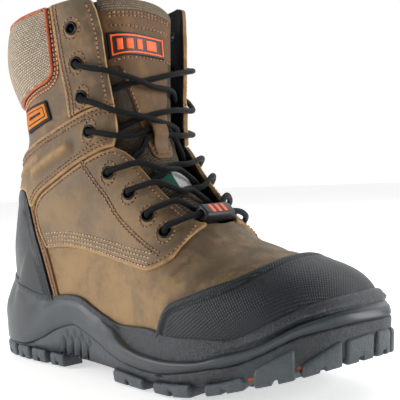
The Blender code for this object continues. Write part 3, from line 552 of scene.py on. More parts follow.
def store(mesh: Mesh, name: str, values: np.ndarray) -> None:
    """Keeps a number for each point, for the materials to read."""
    layer = mesh.attributes.new(name, "FLOAT", "POINT")
    layer.data.foreach_set("value", np.asarray(values, dtype=np.float32))


def add_mesh(name: str, verts: np.ndarray, faces: list, finishes: Sequence[Material],
             uv: np.ndarray | None = None, edge: np.ndarray | None = None,
             parts: Sequence[int] | None = None,
             sharp: float | None = None) -> Object:
    """A new object from points in millimetres.

    Args:
        name: Name of the piece.
        verts: Points in the boot's frame.
        faces: Corners of each face.
        finishes: Materials.
        uv: Flat coordinates of each point.
        edge: How near each point is to an edge, from 0 to 1.
        parts: Material number of each face.
        sharp: Angle in degrees over which an edge stays sharp, or none for smooth shading all over.

    Returns:
        The object.
    """
    mesh = bpy.data.meshes.new(name)
    mesh.from_pydata(((np.asarray(verts) - ORIGIN) * MM).tolist(), [], [tuple(f) for f in faces])
    for finish in finishes:
        mesh.materials.append(finish)
    if parts is not None:
        mesh.polygons.foreach_set("material_index", np.asarray(parts, dtype=np.int32))
    if uv is not None:
        corner = np.zeros(len(mesh.loops), dtype=np.int32)
        mesh.loops.foreach_get("vertex_index", corner)
        layer = mesh.uv_layers.new(name="UVMap")
        layer.data.foreach_set("uv", np.asarray(uv, dtype=np.float32)[corner].ravel())
    if edge is not None:
        store(mesh, "edge", edge)
    mesh.polygons.foreach_set("use_smooth", np.ones(len(mesh.polygons), dtype=bool))
    mesh.update()
    ob = bpy.data.objects.new(name, mesh)
    bpy.context.scene.collection.objects.link(ob)
    if sharp is not None:
        select_only(ob)
        bpy.ops.object.shade_smooth_by_angle(angle=math.radians(sharp))
    return ob


def bevel(ob: Object, width: float, segments: int, angle: float) -> None:
    """Rounds the sharp edges of a piece.

    Args:
        ob: The piece.
        width: Width of the rounding in millimetres.
        segments: Steps of the rounding.
        angle: Angle in degrees over which an edge is sharp.
    """
    select_only(ob)
    rounding = ob.modifiers.new("rounding", "BEVEL")
    rounding.width = width * MM
    rounding.segments = segments
    rounding.limit_method = "ANGLE"
    rounding.angle_limit = math.radians(angle)
    bpy.ops.object.modifier_apply(modifier=rounding.name)


def grid_faces(rows: int, columns: int, start: int = 0, closed: bool = False) -> np.ndarray:
    """Corners of the faces of a grid of points.

    Args:
        rows: Rows of the grid.
        columns: Columns of the grid.
        start: Number of its first point.
        closed: Whether the last column meets the first.

    Returns:
        Four corners for each face.
    """
    wide = columns if closed else columns - 1
    i, j = np.meshgrid(np.arange(rows - 1), np.arange(wide), indexing="ij")
    k = (j + 1) % columns
    this, after = i * columns, (i + 1) * columns
    return start + np.stack([this + j, this + k, after + k, after + j], 2).reshape(-1, 4)


def boundary_edges(faces: list) -> list[tuple[int, int]]:
    """Edges that only one face uses, in that face's direction."""
    seen: dict[tuple[int, int], int] = {}
    for face in faces:
        for a, b in zip(face, list(face[1:]) + [face[0]]):
            seen[(a, b)] = seen.get((a, b), 0) + 1
    return [(a, b) for a, b in seen if (b, a) not in seen]


# Rolled edge of a cut piece, from its face down: part of the radius outwards and down
ROLL = ((0.42, 0.10), (0.76, 0.35), (0.95, 0.68), (1.0, 1.0))


def rolled(verts: np.ndarray, faces: list, normals: np.ndarray, radius: float,
           depth: float) -> tuple[np.ndarray, list, np.ndarray]:
    """Adds a rolled edge and a wall below it along every open edge of a sheet.

    Args:
        verts: Points of the sheet.
        faces: Its faces.
        normals: Outward direction at each point.
        radius: Radius of the roll.
        depth: Depth of the wall under the sheet's face.

    Returns:
        All points, all faces, and the number of the sheet's point that each point belongs to.
    """
    edges = boundary_edges(faces)
    out = np.zeros_like(verts)
    for a, b in edges:
        way = unit(np.cross(verts[b] - verts[a], normals[a]))
        out[a] += way
        out[b] += way
    ring = sorted({k for e in edges for k in e})
    away = unit(out[ring])
    index = {k: n for n, k in enumerate(ring)}
    layers = [ring]
    points = [verts]
    owner = [np.arange(len(verts))]
    count = len(verts)
    for part_out, part_down in ROLL + ((1.0, 0.0),):
        down = part_down * radius if part_down else depth
        points.append(verts[ring] + part_out * radius * away - down * normals[ring])
        owner.append(np.array(ring))
        layers.append(list(range(count, count + len(ring))))
        count += len(ring)
    extra = []
    for high, low in zip(layers[:-1], layers[1:]):
        for a, b in edges:
            i, j = index[a], index[b]
            extra.append((high[j], high[i], low[i], low[j]))
    return np.concatenate(points), list(faces) + extra, np.concatenate(owner)


@dataclass
class Panel:
    """A cut piece of skin laid on the upper."""

    name: str
    outline: np.ndarray
    sections: tuple[float, float]
    sides: tuple[Side, ...]
    thick: float
    low: float = GAP
    radius: float = 0.7
    rows: int = 130
    columns: int = 70
    holes: tuple[int, ...] = ()
    bulge: Callable[[np.ndarray, np.ndarray, np.ndarray], np.ndarray] | None = None
    wall: float = 0.0

    RUB_AND_HIGHLIGHT_REACH = 2.2

    def half(self, last: Last, relief: Relief, side: Side) -> tuple:
        """One side's sheet, trimmed to the outline.

        Args:
            last: The surface.
            relief: Creases.
            side: Side of the foot.

        Returns:
            Points, faces, outward directions, depth from the edge, and flat coordinates.
        """
        u = np.linspace(*self.sections, self.rows)
        share = np.linspace(0, 1, self.columns)
        start = np.where(u <= THROAT_START, 0.0, throat(u, side.value) + self.radius)
        end = last.reach(u, side.value)
        s = side.value * (start[:, None] + share[None] * (end - start)[:, None])
        uu = np.repeat(u[:, None], self.columns, 1)
        uu, s, depth = self.trim(uu, s, lambda a, b: self.depth(last, side, a, b))
        points = last.at(uu, s)
        normals = last.normal(uu, s)
        height = self.low + self.thick + relief.at(points)
        if self.bulge is not None:
            height = height + self.bulge(uu, s, points)
        places = points + height[..., None] * normals
        corner = grid_faces(self.rows, self.columns)
        value = depth.ravel()[corner]
        inside = value >= -1e-6
        count = inside.sum(1)
        some = (value > 1e-6).any(1)
        quads = corner[(count == 4) & some]
        cut = (count == 3) & some
        tris = [[k for k, ok in zip(c, w) if ok] for c, w in zip(corner[cut], inside[cut])]
        tris = np.array(tris).reshape(-1, 3)
        faces = quads.tolist() + tris.astype(int).tolist()
        used = np.unique(np.concatenate([quads.ravel(), tris.astype(int).ravel()]))
        number = np.full(self.rows * self.columns, -1)
        number[used] = np.arange(len(used))
        faces = [[int(number[k]) for k in f] for f in faces]
        rise = np.linalg.norm(np.diff(places, axis=0), axis=2).mean(1)
        high = np.repeat(np.r_[0, np.cumsum(rise)][:, None], self.columns, 1)
        flat = np.stack([s, high], 2).reshape(-1, 2) / 100
        # Painted highlight on crests: nearness to a crest counts as nearness to an edge, so the paler worn
        # colour paints it
        crest = -self.RUB_AND_HIGHLIGHT_REACH * np.log(np.maximum(relief.crest_highlight(points.reshape(-1, 3)), 0.001))
        depth = np.minimum(depth.ravel(), crest)
        pick = (places.reshape(-1, 3)[used], faces, normals.reshape(-1, 3)[used], depth[used], flat[used])
        a, b, c = (pick[0][[f[k] for f in faces]] for k in range(3))
        turn = np.einsum("ij,ij->i", np.cross(b - a, c - a), pick[2][[f[0] for f in faces]]).sum()
        if turn < 0:
            faces[:] = [f[::-1] for f in faces]
        return pick

    def depth(self, last: Last, side: Side, u: np.ndarray, s: np.ndarray) -> np.ndarray:
        """How far inside the outline each place is, along the surface."""
        points = last.at(u, s).reshape(-1, 3)
        normals = last.normal(u, s).reshape(-1, 3)
        gap, way = inside_depth(points[:, (0, 2)], self.outline)
        slope = way[:, 0] * normals[:, 0] + way[:, 1] * normals[:, 2]
        gap = gap / np.sqrt(np.maximum(1 - slope ** 2, 0.15)) - self.radius
        for k in self.holes:
            place = EYELETS[k - 1]
            centre = last.at(place[0], side.value * place[1 if side is Side.LATERAL else 2])
            gap = np.minimum(gap, np.linalg.norm(points - centre, axis=1) - HOLE_RADIUS - self.radius)
        return gap.reshape(u.shape)

    @staticmethod
    def trim(u: np.ndarray, s: np.ndarray, measure: Callable[[np.ndarray, np.ndarray], np.ndarray]) -> tuple:
        """Moves the places next to the outline onto it.

        Args:
            u: Section numbers of a grid.
            s: Lengths of a grid.
            measure: Gives the depth inside the outline.

        Returns:
            The moved places and their depths.
        """
        depth = measure(u, s)
        best = np.full(u.shape, np.inf)
        new_u, new_s = u.copy(), s.copy()
        for axis in (0, 1):
            low = [slice(None), slice(None)]
            high = [slice(None), slice(None)]
            low[axis] = slice(None, -1)
            high[axis] = slice(1, None)
            low, high = tuple(low), tuple(high)
            a, b = depth[low], depth[high]
            crosses = (a > 0) != (b > 0)
            t = np.where(crosses, a / np.where(a == b, 1.0, a - b), 0.0)
            step_u, step_s = u[high] - u[low], s[high] - s[low]
            for here, share, sign in ((low, t, 1.0), (high, 1 - t, -1.0)):
                better = crosses & (share <= 0.5) & (share < best[here])
                best[here] = np.where(better, share, best[here])
                new_u[here] = np.where(better, u[here] + sign * share * step_u, new_u[here])
                new_s[here] = np.where(better, s[here] + sign * share * step_s, new_s[here])
        depth = np.where(np.isfinite(best), 0.0, depth)
        return new_u, new_s, depth

    def build(self, last: Last, relief: Relief, finish: Material,
              lining: Material | None = None) -> Object:
        """The piece with rolled edges.

        Args:
            last: The surface.
            relief: Creases.
            finish: Material.
            lining: Material of its inside, where the piece gets one.

        Returns:
            The object.
        """
        verts, faces, normals, depth, flat = [], [], [], [], []
        count = 0
        for side in self.sides:
            part = self.half(last, relief, side)
            verts.append(part[0])
            faces += [[k + count for k in f] for f in part[1]]
            normals.append(part[2])
            depth.append(part[3])
            flat.append(part[4])
            count += len(part[0])
        verts, normals = np.concatenate(verts), np.concatenate(normals)
        depth, flat = np.concatenate(depth), np.concatenate(flat)
        faces = merged(verts, faces)
        wall = self.wall or self.thick + self.low + 0.6
        points, shell, owner = rolled(verts, faces, normals, self.radius, wall)
        near = np.exp(-np.clip(depth[owner], 0, None) / self.RUB_AND_HIGHLIGHT_REACH)
        near[len(verts):] = 1.0
        parts = [0] * len(shell)
        if lining is not None:
            start = len(points)
            ring = sorted({k for e in boundary_edges(faces) for k in e})
            lowest = {k: start - len(ring) + n for n, k in enumerate(ring)}
            points = np.concatenate([points, verts - wall * normals])
            inner = [[start + k for k in f[::-1]] for f in faces]
            ledge = [[lowest[b], lowest[a], start + a, start + b] for a, b in boundary_edges(faces)]
            owner = np.r_[owner, np.arange(len(verts))]
            near = np.r_[near, np.zeros(len(verts))]
            shell = shell + inner + ledge
            parts[-len(ledge):] = [1] * len(ledge)
            parts += [1] * (len(inner) + len(ledge))
        materials = [finish] if lining is None else [finish, lining]
        ob = add_mesh(self.name, points, shell, materials, flat[owner], near, parts)
        # Darker tone on the vamp and shaft, and painted shade beside the throat
        store(ob.data, "shade", darkened_and_shaded(last, points))
        drop_loose(ob)
        return ob


# How much darker the vamp and the shaft are at their most, how dark the painted shade beside the throat is at
# its most, and how far that shade reaches from the throat
VAMP_DARK = 0.86
SHAFT_DARK = 0.22
THROAT_SHADE = 0.5
THROAT_SHADE_REACH = 15.0


def darkened_and_shaded(last: Last, points: np.ndarray) -> np.ndarray:
    """How much darker the leather is made: darker leather on the vamp and up the shaft, and painted shade
    beside the throat.

    Args:
        last: The surface.
        points: Places on or near it.

    Returns:
        A share from 0 to 1 for each place.
    """
    x, z = points[:, 0], points[:, 2]
    clean = 1 - VAMP_DARK * soft_step(x + 0.35 * (z - 50), 178, 214)
    clean *= 1 - SHAFT_DARK * soft_step(z, 118, 165)
    # Painted shade beside the edges of the throat
    for side in Side:
        u = np.linspace(THROAT_START, COLLAR, 90)
        edge = last.at(u, side.value * throat(u, side.value))
        gap = np.min(np.linalg.norm(points[:, None] - edge[None], axis=2), axis=1)
        clean *= 1 - THROAT_SHADE * np.exp(-(gap / THROAT_SHADE_REACH) ** 2)
    return 1 - clean


def merged(verts: np.ndarray, faces: list) -> list:
    """Faces whose corners use one number for points that coincide."""
    key = np.round(verts / MEET).astype(np.int64)
    _, first, back = np.unique(key, axis=0, return_index=True, return_inverse=True)
    take = first[back.ravel()]
    result = []
    for face in faces:
        ring = [int(take[k]) for k in face]
        ring = [k for n, k in enumerate(ring) if k != ring[n - 1]]
        if len(set(ring)) >= 3 and len(set(ring)) == len(ring):
            result.append(ring)
    return result


class NodeKit:
    """Short way to add and join shader nodes."""

    def __init__(self, tree: NodeTree) -> None:
        """Keeps the node tree to add to."""
        self.tree = tree

    def add(self, kind: str, inputs: dict | None = None, **settings: object) -> Node:
        """Adds a node.

        Args:
            kind: Blender's name of the node's type.
            inputs: Value or socket for each named or numbered input.
            settings: Properties of the node.

        Returns:
            The node.
        """
        node = self.tree.nodes.new(kind)
        for key, value in settings.items():
            setattr(node, key, value)
        for key, value in (inputs or {}).items():
            self.feed(node.inputs[key], value)
        return node

    def feed(self, socket: NodeSocket, value: object) -> None:
        """Links a socket to an input or sets the input's value."""
        if isinstance(value, NodeSocket):
            self.tree.links.new(value, socket)
        else:
            socket.default_value = value

    def place(self) -> NodeSocket:
        """Coordinates in the boot's frame."""
        return self.add("ShaderNodeTexCoord").outputs["Object"]

    def stored(self, name: str) -> NodeSocket:
        """The number kept for each point under a name."""
        return self.add("ShaderNodeAttribute", attribute_name=name).outputs["Fac"]

    def math(self, operation: str, a: object, b: object = 0.0) -> NodeSocket:
        """Result of an operation on one or two numbers or sockets."""
        return self.add("ShaderNodeMath", {0: a, 1: b}, operation=operation).outputs[0]

    def mix(self, share: object, a: object, b: object) -> NodeSocket:
        """Colour between two colours."""
        return self.add("ShaderNodeMix", {0: share, 6: a, 7: b}, data_type="RGBA").outputs[2]

    def range(self, value: object, low: float, high: float, to_low: float = 0.0,
              to_high: float = 1.0) -> NodeSocket:
        """Value carried from one range to another."""
        node = self.add("ShaderNodeMapRange", {0: value, 1: low, 2: high, 3: to_low, 4: to_high})
        return node.outputs[0]

    def noise(self, vector: object, scale: object, detail: float = 4.0, rough: float = 0.55,
              twist: float = 0.0) -> NodeSocket:
        """Cloudy noise from 0 to 1."""
        node = self.add("ShaderNodeTexNoise", {"Vector": vector, "Scale": scale, "Detail": detail,
                                               "Roughness": rough, "Distortion": twist})
        return node.outputs[0]


def new_group(name: str, inputs: Sequence[tuple[str, str, object]],
              outputs: Sequence[tuple[str, str]]) -> tuple:
    """An empty shader group with named sockets.

    Args:
        name: Name of the group.
        inputs: Name, socket type and first value of each input.
        outputs: Name and socket type of each output.

    Returns:
        The group, its kit, its input node and its output node.
    """
    tree = bpy.data.node_groups.new(name, "ShaderNodeTree")
    for label, kind, value in inputs:
        socket = tree.interface.new_socket(name=label, in_out="INPUT", socket_type=kind)
        if value is not None:
            socket.default_value = value
    for label, kind in outputs:
        tree.interface.new_socket(name=label, in_out="OUTPUT", socket_type=kind)
    kit = NodeKit(tree)
    return tree, kit, kit.add("NodeGroupInput"), kit.add("NodeGroupOutput")


class Effects:
    """Shader groups that several finishes share."""

    def __init__(self) -> None:
        """Builds each group once."""
        self.clouds = self._clouds()
        self.grain = self._grain()
        self.rub_and_highlight = self._rub_and_highlight()

    @staticmethod
    def _clouds() -> NodeTree:
        """Uneven tone: broad clouds and small flecks of two colours over a base."""
        tree, kit, given, out = new_group(
            "uneven_tone",
            (("Vector", "NodeSocketVector", None), ("Base", "NodeSocketColor", (0.5, 0.5, 0.5, 1)),
             ("Pale", "NodeSocketColor", (0.7, 0.7, 0.7, 1)),
             ("Deep", "NodeSocketColor", (0.3, 0.3, 0.3, 1)),
             ("Size", "NodeSocketFloat", 60.0), ("Strength", "NodeSocketFloat", 0.5)),
            (("Color", "NodeSocketColor"), ("Mask", "NodeSocketFloat")))
        broad = kit.noise(given.outputs["Vector"], given.outputs["Size"], 3.0, 0.5, 0.5)
        finer = kit.math("MULTIPLY", given.outputs["Size"], 6.0)
        small = kit.noise(given.outputs["Vector"], finer, 4.0, 0.65, 0.2)
        both = kit.math("ADD", kit.math("MULTIPLY", broad, 0.68), kit.math("MULTIPLY", small, 0.32))
        pale = kit.math("MULTIPLY", kit.range(both, 0.49, 0.63), given.outputs["Strength"])
        deep = kit.math("MULTIPLY", kit.range(both, 0.50, 0.36), given.outputs["Strength"])
        tone = kit.mix(pale, given.outputs["Base"], given.outputs["Pale"])
        tone = kit.mix(deep, tone, given.outputs["Deep"])
        kit.feed(out.inputs["Color"], tone)
        kit.feed(out.inputs["Mask"], both)
        return tree

    @staticmethod
    def _grain() -> NodeTree:
        """Fine surface height: pores, nap and slow unevenness."""
        tree, kit, given, out = new_group(
            "fine_grain",
            (("Vector", "NodeSocketVector", None), ("Pores", "NodeSocketFloat", 1400.0),
             ("Waves", "NodeSocketFloat", 180.0), ("Pore Depth", "NodeSocketFloat", 0.5)),
            (("Height", "NodeSocketFloat"),))
        pores = kit.noise(given.outputs["Vector"], given.outputs["Pores"], 3.0, 0.6)
        waves = kit.noise(given.outputs["Vector"], given.outputs["Waves"], 3.0, 0.5)
        part = kit.math("MULTIPLY", pores, given.outputs["Pore Depth"])
        kit.feed(out.inputs["Height"], kit.math("ADD", part, waves))
        return tree

    @staticmethod
    def _rub_and_highlight() -> NodeTree:
        """Wear towards cut edges, and a painted highlight on raised crests, from the piece's edge attribute.
        """
        tree, kit, given, out = new_group(
            "edge_rub_and_crest_highlight",
            (("Vector", "NodeSocketVector", None), ("Base", "NodeSocketColor", (0.5, 0.5, 0.5, 1)),
             ("Worn", "NodeSocketColor", (0.7, 0.7, 0.7, 1)), ("Amount", "NodeSocketFloat", 0.6)),
            (("Color", "NodeSocketColor"), ("Mask", "NodeSocketFloat")))
        edge = kit.stored("edge")
        patchy = kit.range(kit.noise(given.outputs["Vector"], 240.0, 3.0), 0.30, 0.62, 0.35, 1.0)
        worn = kit.math("MULTIPLY", kit.math("POWER", edge, 1.4), patchy)
        mask = kit.math("MULTIPLY", worn, given.outputs["Amount"])
        kit.feed(out.inputs["Color"], kit.mix(mask, given.outputs["Base"], given.outputs["Worn"]))
        kit.feed(out.inputs["Mask"], mask)
        return tree


Colour = tuple[float, float, float]


def rgba(colour: Colour) -> tuple[float, float, float, float]:
    """A colour with full alpha."""
    return (*colour, 1.0)


def new_material(name: str) -> tuple[Material, NodeKit, Node]:
    """An empty material, its kit and its Principled shader."""
    material = bpy.data.materials.new(name)
    material.use_nodes = True
    kit = NodeKit(material.node_tree)
    return material, kit, material.node_tree.nodes["Principled BSDF"]


def use_group(kit: NodeKit, tree: NodeTree, inputs: dict) -> Node:
    """Places a shader group in a material."""
    return kit.add("ShaderNodeGroup", inputs, node_tree=tree)


def clouded(kit: NodeKit, effects: Effects, place: object, base: object, pale: object, deep: object,
            size: float, strength: float) -> Node:
    """Places the group of uneven tone.

    Args:
        kit: Kit of the material.
        effects: Shared groups.
        place: Coordinates.
        base: Base colour.
        pale: Colour of the pale clouds.
        deep: Colour of the dark clouds.
        size: How many clouds there are in a metre.
        strength: How far the clouds go from the base.

    Returns:
        The group's node.
    """
    return use_group(kit, effects.clouds, {"Vector": place, "Base": base, "Pale": pale, "Deep": deep,
                                           "Size": size, "Strength": strength})


def vary_rough(kit: NodeKit, shader: Node, tone: Node, low: float, high: float) -> None:
    """Makes the pale clouds of a tone rougher than the dark ones."""
    kit.feed(shader.inputs["Roughness"], kit.range(tone.outputs["Mask"], 0.3, 0.7, low, high))


def bump(kit: NodeKit, shader: Node, height: object, depth: float, strength: float = 1.0) -> None:
    """Turns a height from 0 to 1, over a depth in millimetres, into the shader's normal."""
    node = kit.add("ShaderNodeBump", {"Strength": strength, "Distance": depth * MM, "Height": height})
    kit.feed(shader.inputs["Normal"], node.outputs[0])


@dataclass(frozen=True)
class Leather:
    """Oiled nubuck: warm low on the boot and greyer on the shaft, paler where it is rubbed and where a
    highlight is painted on crests.
    """

    name: str
    low: Colour = (0.285, 0.178, 0.080)
    high: Colour = (0.160, 0.104, 0.058)
    pale: Colour = (0.375, 0.235, 0.105)
    deep: Colour = (0.105, 0.071, 0.042)
    dark_tone_and_shade: Colour = (0.062, 0.042, 0.024)
    worn: Colour = (0.460, 0.262, 0.100)
    rough: float = 0.62

    def make(self, effects: Effects) -> Material:
        """The material."""
        material, kit, shader = new_material(self.name)
        place = kit.place()
        height = kit.add("ShaderNodeSeparateXYZ", {0: place}).outputs[2]
        base = kit.mix(kit.range(height, 0.075, 0.170), rgba(self.low), rgba(self.high))
        # Darker tone on the vamp and up the shaft, and painted shade beside the throat, both from the shade
        # each piece stores
        shade = kit.stored("shade")
        patchy = kit.range(kit.noise(place, 62.0, 4.0, 0.6, 0.6), 0.34, 0.62, 0.55, 1.0)
        base = kit.mix(kit.math("MULTIPLY", shade, patchy), base, rgba(self.dark_tone_and_shade))
        tone = clouded(kit, effects, place, base, rgba(self.pale), rgba(self.deep), 36.0, 0.52)
        rub_and_highlight = use_group(kit, effects.rub_and_highlight, {"Vector": place, "Base": tone.outputs["Color"],
                                           "Worn": rgba(self.worn), "Amount": 0.85})
        kit.feed(shader.inputs["Base Color"], rub_and_highlight.outputs["Color"])
        vary_rough(kit, shader, tone, self.rough - 0.10, self.rough + 0.12)
        grain = use_group(kit, effects.grain, {"Vector": place, "Pores": 1500.0, "Waves": 210.0,
                                               "Pore Depth": 0.55})
        bump(kit, shader, grain.outputs["Height"], 0.35, 0.75)
        shader.inputs["Sheen Weight"].default_value = 0.05
        shader.inputs["Sheen Roughness"].default_value = 0.5
        shader.inputs["Specular IOR Level"].default_value = 0.30
        return material


@dataclass(frozen=True)
class Rubber:
    """Moulded rubber or plastic with a fine or a pebbled surface."""

    name: str
    colour: Colour
    pale: Colour
    rough: float = 0.5
    pores: float = 2200.0
    depth: float = 0.12

    def make(self, effects: Effects) -> Material:
        """The material."""
        material, kit, shader = new_material(self.name)
        place = kit.place()
        deep = tuple(0.55 * c for c in self.colour)
        # Painted shade: where a piece stores shade, the colour darkens towards a quarter of itself
        shade = kit.stored("shade")
        painted_shade = rgba(tuple(0.25 * c for c in self.colour))
        base = kit.mix(shade, rgba(self.colour), painted_shade)
        tone = clouded(kit, effects, place, base, rgba(self.pale), rgba(deep), 55.0, 0.3)
        kit.feed(shader.inputs["Base Color"], tone.outputs["Color"])
        vary_rough(kit, shader, tone, self.rough - 0.06, self.rough + 0.10)
        grain = use_group(kit, effects.grain, {"Vector": place, "Pores": self.pores, "Waves": 260.0,
                                               "Pore Depth": 1.0})
        bump(kit, shader, grain.outputs["Height"], self.depth)
        shader.inputs["Specular IOR Level"].default_value = 0.42
        return material


@dataclass(frozen=True)
class DottedGuard:
    """Abrasion guard of the toe: black with a close grid of small studs."""

    name: str = "dotted_toe_guard"
    colour: Colour = (0.018, 0.022, 0.0245)
    pale: Colour = (0.026, 0.029, 0.032)
    deep: Colour = (0.006, 0.007, 0.008)
    crest_highlight: Colour = (0.034, 0.038, 0.042)
    pitch: float = 1.5

    def make(self, effects: Effects) -> Material:
        """The material."""
        material, kit, shader = new_material(self.name)
        coords = kit.add("ShaderNodeTexCoord")
        place = coords.outputs["Object"]
        turn = (0, 0, math.radians(45))
        turned = kit.add("ShaderNodeMapping", {"Vector": coords.outputs["UV"], "Rotation": turn})
        spacing = {"Vector": turned.outputs[0], "Scale": 100 / self.pitch, "Randomness": 0.0}
        cells = kit.add("ShaderNodeTexVoronoi", spacing, voronoi_dimensions="2D")
        stud = kit.range(cells.outputs["Distance"], 0.18, 0.52, 1.0, 0.0)
        tone = clouded(kit, effects, place, rgba(self.colour), rgba(self.pale), rgba(self.deep), 45.0, 0.35)
        # Painted highlight: the crowns of the studs are paler
        crown = kit.math("MULTIPLY", stud, 0.45)
        kit.feed(shader.inputs["Base Color"], kit.mix(crown, tone.outputs["Color"], rgba(self.crest_highlight)))
        vary_rough(kit, shader, tone, 0.34, 0.46)
        shader.inputs["Specular IOR Level"].default_value = 0.27
        bump(kit, shader, stud, 0.19)
        return material


@dataclass(frozen=True)
class Weave:
    """Knitted or woven cloth: rows of small cells with dark gaps."""

    name: str
    pale: Colour
    deep: Colour
    gap: Colour
    cell: float = 2.3
    row: float = 1.5
    depth: float = 0.5
    rough: float = 0.9

    def make(self, effects: Effects) -> Material:
        """The material."""
        material, kit, shader = new_material(self.name)
        coords = kit.add("ShaderNodeTexCoord")
        cells = kit.add("ShaderNodeTexBrick", {
            "Vector": coords.outputs["UV"], "Color1": rgba(self.pale), "Color2": rgba(self.deep),
            "Mortar": rgba(self.gap), "Scale": 1.0, "Mortar Size": 0.0035, "Mortar Smooth": 0.9, "Bias": 0.0,
            "Brick Width": self.cell / 100, "Row Height": self.row / 100}, offset=0.5)
        tone = clouded(kit, effects, coords.outputs["Object"], cells.outputs["Color"], rgba(self.pale),
                       rgba(self.deep), 70.0, 0.25)
        kit.feed(shader.inputs["Base Color"], tone.outputs["Color"])
        shader.inputs["Roughness"].default_value = self.rough
        fibre = kit.noise(coords.outputs["Object"], 4200.0, 2.0)
        raised = kit.math("SUBTRACT", 1.0, cells.outputs["Fac"])
        height = kit.math("ADD", raised, kit.math("MULTIPLY", fibre, 0.4))
        bump(kit, shader, height, self.depth)
        shader.inputs["Specular IOR Level"].default_value = 0.2
        shader.inputs["Sheen Weight"].default_value = 0.06
        return material


@dataclass(frozen=True)
class Braid:
    """Round braided cord."""

    name: str
    colour: Colour
    pale: Colour
    strands: float = 9.0

    def make(self, effects: Effects) -> Material:
        """The material."""
        material, kit, shader = new_material(self.name)
        coords = kit.add("ShaderNodeTexCoord")
        flat = kit.add("ShaderNodeSeparateXYZ", {0: coords.outputs["UV"]})
        turn = 2 * math.pi * self.strands
        a = kit.math("MULTIPLY", flat.outputs[0], turn)
        b = kit.math("MULTIPLY", flat.outputs[1], turn)
        one = kit.math("SINE", kit.math("ADD", a, b))
        two = kit.math("SINE", kit.math("SUBTRACT", a, b))
        height = kit.range(kit.math("MULTIPLY", one, two), -0.8, 0.8)
        fibre = kit.noise(coords.outputs["Object"], 3500.0, 2.0)
        both = kit.math("ADD", height, kit.math("MULTIPLY", fibre, 0.5))
        # Painted highlight: the raised strands and fibres are paler
        tone = kit.mix(kit.range(both, 0.3, 1.3), rgba(self.colour), rgba(self.pale))
        kit.feed(shader.inputs["Base Color"], tone)
        shader.inputs["Roughness"].default_value = 0.5
        shader.inputs["Specular IOR Level"].default_value = 0.2
        bump(kit, shader, both, 0.9)
        return material


@dataclass(frozen=True)
class Thread:
    """Twisted sewing thread, one tone darker or paler from stitch to stitch."""

    name: str
    colour: Colour
    pale: Colour

    def make(self, effects: Effects) -> Material:
        """The material."""
        material, kit, shader = new_material(self.name)
        place = kit.place()
        spread = kit.range(kit.noise(place, 330.0, 2.0), 0.35, 0.65)
        kit.feed(shader.inputs["Base Color"], kit.mix(spread, rgba(self.colour), rgba(self.pale)))
        shader.inputs["Roughness"].default_value = 0.7
        bump(kit, shader, kit.noise(place, 3800.0, 2.0), 0.15)
        return material


@dataclass(frozen=True)
class Metal:
    """Dark plated metal with rubbed spots."""

    name: str
    colour: Colour
    pale: Colour
    rough: float = 0.34

    def make(self, effects: Effects) -> Material:
        """The material."""
        material, kit, shader = new_material(self.name)
        place = kit.place()
        deep = rgba(tuple(0.5 * c for c in self.colour))
        tone = clouded(kit, effects, place, rgba(self.colour), rgba(self.pale), deep, 300.0, 0.4)
        kit.feed(shader.inputs["Base Color"], tone.outputs["Color"])
        vary_rough(kit, shader, tone, self.rough - 0.08, self.rough + 0.12)
        shader.inputs["Metallic"].default_value = 0.9
        return material


